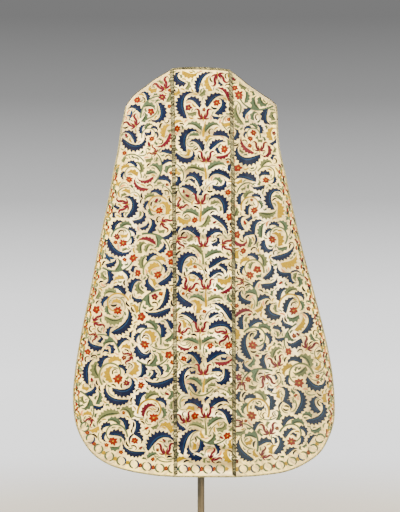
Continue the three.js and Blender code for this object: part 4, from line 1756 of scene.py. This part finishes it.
class CHASUBLE_OT_panels(bpy.types.Operator):
    """Makes the six panels of cloth, with their creases"""

    bl_idname = "chasuble.panels"
    bl_label = "Panels"

    def execute(self, context):
        cloth = context.scene.chasuble_cloth
        # The last number is the strength of the painted shade in the hollows and the painted highlight on
        # the ridges
        column = silk_material("Column silk", cloth.column_silk, cloth, cloth.wear, 1.2)
        side = silk_material("Side silk", cloth.side_silk, cloth, cloth.wear * 1.2, 0.5)
        lining = lining_material(cloth)
        for name, (face, (x, fall)) in PANELS.items():
            mesh = panel_mesh(name, face, x, fall)
            mesh.materials.append(column if name.endswith("centre") else side)
            mesh.materials.append(lining)
            piece = add_piece(name + "_cloth", mesh)
            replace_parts(piece, name)
        return {"FINISHED"}


class CHASUBLE_OT_embroidery(bpy.types.Operator):
    """Embroiders the panels of the back"""

    bl_idname = "chasuble.embroidery"
    bl_label = "Embroidery"

    def execute(self, context):
        settings = context.scene.chasuble_embroidery
        material = thread_material("Embroidery thread", 0.0008, 0.5, 0.0, 0.00015)
        palette = palette_of(settings, EMBROIDERY_THREADS)

        def fade(drop):
            return np.array(settings.faded), settings.fade * mix(0.3, 1, smooth(drop, 0.35, 0.95))

        def back_face(x, drop):
            return cloth_point(BACK, x, fall_to(x, drop))

        for seed, place in enumerate(("left", "centre", "right")):
            rng = np.random.default_rng(EMBROIDERY_SEED + seed)
            worn = fade if place == "right" else None
            threads = Threads(palette, settings.rise, EMBROIDERY_JITTER, rng, worn)
            if place == "centre":
                embroider_column(threads, BACK, back_neck_drop, rng)
                embroider_column_hem(threads, BACK, rng)
            else:
                embroider_side(threads, BACK, place, rng)
                embroider_borders(threads, BACK, place, rng)
            mesh = threads.mesh(f"back_{place}_embroidery", back_face, BACK["facing"])
            mesh.materials.append(material)
            add_piece(mesh.name, mesh)
        return {"FINISHED"}


class CHASUBLE_OT_galloons(bpy.types.Operator):
    """Sews the galloons over the seams and round the neck"""

    bl_idname = "chasuble.galloons"
    bl_label = "Galloons"

    def execute(self, context):
        braid = context.scene.chasuble_braid
        palette = palette_of(braid, BRAID_THREADS)
        rng = np.random.default_rng(GALLOON_SEED)
        half = GALLOON_HALF * GALLOON_SHARE

        def sew(name, node, surface, sign, strips, lie):
            threads = Threads(palette, GALLOON_RISE, GALLOON_JITTER, rng)
            sew_braid(name, node, threads, surface, sign, strips, lie)

        for label, face in FACES.items():
            for side in ("left", "right"):
                length = seam_end(face, side) - 2 * EDGE_BRAID_HALF
                strips = plait(length, half, braid.plait, rng)
                name = f"{label}_galloon_{side}"
                surface = seam_surface(face, side)
                sew(name + "_braid", name, surface, face["facing"], strips, GALLOON_LIE)
        for label, neck_drop in NECKS.items():
            swing = np.sin(np.linspace(-math.pi / 2, math.pi / 2, 120))
            x = NECK_HALF * NECK_BRAID_REACH * swing
            line = np.stack([x, fall_to(x, neck_drop(x))], -1)
            points, inward, sign = border_frame(FACES[label], line)
            surface, length = path_surface(points, inward)
            narrow = NECK_BRAID_HALF * NECK_BRAID_SHARE
            strips = plait(length, narrow, braid.plait * 0.8, rng, (NECK_BRAID_HALF, 0))
            name = f"neck_braid_{label}"
            sew(name, f"neck_galloon_{label}", surface, sign, strips, NECK_BRAID_LIE)
        for side in ("left", "right"):
            length = TIP_HALF - NECK_HALF - 0.002 - GALLOON_HALF
            strips = plait(length, half, braid.plait, rng, (0, GALLOON_HALF))
            name = f"shoulder_galloon_{side}"
            sign = -side_sign(side)
            sew(name + "_braid", name, shoulder_surface(side), sign, strips, GALLOON_LIE)
        return {"FINISHED"}


class CHASUBLE_OT_edge_braids(bpy.types.Operator):
    """Binds the outer edges with a narrow braid"""

    bl_idname = "chasuble.edge_braids"
    bl_label = "Edge braids"

    def execute(self, context):
        braid = context.scene.chasuble_braid
        palette = palette_of(braid, BRAID_THREADS)
        palette["olive"] = palette["pale"]
        rng = np.random.default_rng(EDGE_BRAID_SEED)
        half, at = EDGE_BRAID_HALF * EDGE_BRAID_SHARE, (EDGE_BRAID_HALF, 0)
        for label, face in FACES.items():
            points, inward, sign = border_frame(face, edge_path(face))
            surface, length = path_surface(points, inward)
            strips = plait(length, half, braid.plait * 0.9, rng, at, cords=False)
            threads = Threads(palette, EDGE_BRAID_RISE, EDGE_BRAID_JITTER, rng)
            name, node = f"{label}_edge_binding", f"{label}_edge_braid"
            sew_braid(name, node, threads, surface, sign, strips, EDGE_BRAID_LIE)
        return {"FINISHED"}


class CHASUBLE_OT_form(bpy.types.Operator):
    """Covers the padded shoulder form with linen"""

    bl_idname = "chasuble.form"
    bl_label = "Shoulder form"

    def execute(self, context):
        solid = bpy.data.objects["shoulder_form"]
        mesh = bmesh.new()
        mesh.from_mesh(solid.data)
        bmesh.ops.remove_doubles(mesh, verts=mesh.verts, dist=1e-5)
        bmesh.ops.join_triangles(
            mesh, faces=mesh.faces, angle_face_threshold=1.0, angle_shape_threshold=1.2
        )
        made = bpy.data.meshes.new("form_cover")
        mesh.to_mesh(made)
        mesh.free()
        made.materials.clear()
        made.materials.append(linen_material(context.scene.chasuble_stand))
        piece = add_piece("form_cover", made, 60)
        rounding = piece.modifiers.new("Rounding", "SUBSURF")
        rounding.levels = rounding.render_levels = 2
        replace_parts(piece, "shoulder_form")
        return {"FINISHED"}


class CHASUBLE_OT_stand(bpy.types.Operator):
    """Finishes the pole, flange, collar and base plate in metal"""

    bl_idname = "chasuble.stand"
    bl_label = "Stand"

    def execute(self, context):
        metal = metal_material(context.scene.chasuble_stand)
        for name in ("form_flange", "pole", "base_collar", "base_plate"):
            node = bpy.data.objects[name]
            for slot in node.material_slots:
                slot.material = metal
            if not node.material_slots:
                node.data.materials.append(metal)
        return {"FINISHED"}


class CHASUBLE_OT_declare(bpy.types.Operator):
    bl_idname = "chasuble.declare"
    bl_label = "Declare the cloth"

    def execute(self, context):
        return {"FINISHED"}


FRAME_HEIGHT = 1.3937
CAMERA_X = -0.0027
CAMERA_HEIGHT = 0.9042
GARMENT_BACK = -0.062
SENSOR = 36.0

# Brightness of the backdrop by the height of the line of sight, from the floor to overhead
BACKDROP = table(
    "height glow",
    (-0.30, 0.90),
    (-0.065, 1.0),
    (-0.024, 0.82),
    (0.030, 0.38),
    (0.085, 0.18),
    (0.128, 0.11),
    (0.30, 0.13),
    (0.60, 0.30),
)


# Soft lights: place, width and the setting that holds the power of each
LIGHT_AIM = (0, 0, 0.95)
LIGHTS = {
    "Key": ((-2.3, -2.3, 2.9), 1.4, "key_power"),
    "Fill": ((2.2, -3.2, 1.5), 1.6, "fill_power"),
    "Back left": ((-2.4, 3.2, 2.2), 1.6, "fill_power"),
    "Back right": ((2.4, 3.0, 1.8), 1.6, "fill_power"),
}
FLOOR_RADIUS = 3.6
FLOOR_FADE = (1.3, 3.5)


def look_along(direction):
    """Turn of a lamp that looks along a direction."""
    level = math.hypot(direction[0], direction[1])
    return (math.atan2(level, -direction[2]), 0, math.atan2(-direction[0], direction[1]))


def add_lights(stage):
    for name, (place, width, power) in LIGHTS.items():
        light = bpy.data.lights.new(name, "AREA")
        light.shape = "RECTANGLE"
        light.size = light.size_y = width
        light.energy = getattr(stage, power)
        light.color = stage.light
        lamp = add_object(name, light)
        lamp.location = place
        lamp.rotation_euler = look_along(np.array(LIGHT_AIM) - np.array(place))


def add_camera(stage):
    camera = bpy.data.cameras.new("Camera")
    camera.sensor_width = SENSOR
    camera.lens = SENSOR * stage.distance / FRAME_HEIGHT
    viewer = add_object("Camera", camera)
    viewer.location = (CAMERA_X, GARMENT_BACK - stage.distance, CAMERA_HEIGHT)
    viewer.rotation_euler = (math.pi / 2, 0, 0)
    bpy.context.scene.camera = viewer


def add_floor(stage):
    """A round floor that fades out into the backdrop."""
    mesh = bpy.data.meshes.new("floor")
    shape = bmesh.new()
    bmesh.ops.create_circle(shape, cap_ends=True, segments=96, radius=FLOOR_RADIUS)
    shape.to_mesh(mesh)
    shape.free()
    material, wiring = new_material("Floor")
    far = wiring.add("VectorMath", {0: own_place(wiring)}, operation="LENGTH").outputs["Value"]
    finish_material(wiring, stage.floor, 0.7, Alpha=wiring.ranged(far, *FLOOR_FADE, 1.0, 0.0))
    mesh.materials.append(material)
    add_object("floor", mesh)


def add_backdrop(stage):
    """A world whose brightness changes with the height of the line of sight."""
    world = bpy.data.worlds.new("Studio")
    world.use_nodes = True
    bpy.context.scene.world = world
    wiring = Wiring(world.node_tree)
    direction = wiring.add("TexCoord", {}).outputs["Generated"]
    height = wiring.add("SeparateXYZ", {0: direction}).outputs[2]
    low, high = BACKDROP["height"][0], BACKDROP["height"][-1]
    place = wiring.add("MapRange", {0: height, 1: low, 2: high}).outputs[0]
    ramp = wiring.add("ValToRGB", {0: place})
    stops = ramp.color_ramp.elements
    for k, row in enumerate(table_rows(BACKDROP)):
        at = (row["height"] - low) / (high - low)
        stop = stops[k] if k < 2 else stops.new(at)
        stop.position = at
        stop.color = (row["glow"],) * 3 + (1,)
    background = wiring.add("Background", {"Color": ramp.outputs[0], "Strength": stage.glow})
    wiring.add("OutputWorld", {"Surface": background.outputs[0]})


class CHASUBLE_OT_stage(bpy.types.Operator):
    """Sets the camera, floor, backdrop and soft lights"""

    bl_idname = "chasuble.stage"
    bl_label = "Stage"

    def execute(self, context):
        stage = context.scene.chasuble_stage
        add_camera(stage)
        add_floor(stage)
        add_backdrop(stage)
        add_lights(stage)
        return {"FINISHED"}


OPERATORS = (
    CHASUBLE_OT_stage,
    CHASUBLE_OT_panels,
    CHASUBLE_OT_embroidery,
    CHASUBLE_OT_galloons,
    CHASUBLE_OT_edge_braids,
    CHASUBLE_OT_form,
    CHASUBLE_OT_stand,
    CHASUBLE_OT_declare,
)


class CHASUBLE_PT_sidebar(bpy.types.Panel):
    """Lists the pieces of the chasuble"""

    bl_idname = "CHASUBLE_PT_sidebar"
    bl_label = "Chasuble"
    bl_space_type = "VIEW_3D"
    bl_region_type = "UI"
    bl_category = "Chasuble"

    def draw(self, context):
        for operator in OPERATORS:
            self.layout.operator(operator.bl_idname)
        for name, settings in SETTINGS.items():
            box = self.layout.box()
            for label in settings.__annotations__:
                box.prop(getattr(context.scene, name), label)


def register():
    for made in (*SETTINGS.values(), *OPERATORS, CHASUBLE_PT_sidebar):
        bpy.utils.register_class(made)
    for name, settings in SETTINGS.items():
        setattr(bpy.types.Scene, name, bpy.props.PointerProperty(type=settings))


def unregister():
    for name in SETTINGS:
        delattr(bpy.types.Scene, name)
    for made in reversed((*SETTINGS.values(), *OPERATORS, CHASUBLE_PT_sidebar)):
        bpy.utils.unregister_class(made)


def main():
    register()
    bpy.ops.chasuble.stage()
    bpy.ops.chasuble.panels()
    bpy.ops.chasuble.embroidery()
    bpy.ops.chasuble.galloons()
    bpy.ops.chasuble.edge_braids()
    bpy.ops.chasuble.form()
    bpy.ops.chasuble.stand()
    bpy.ops.chasuble.declare()


if __name__ == "__main__":
    main()
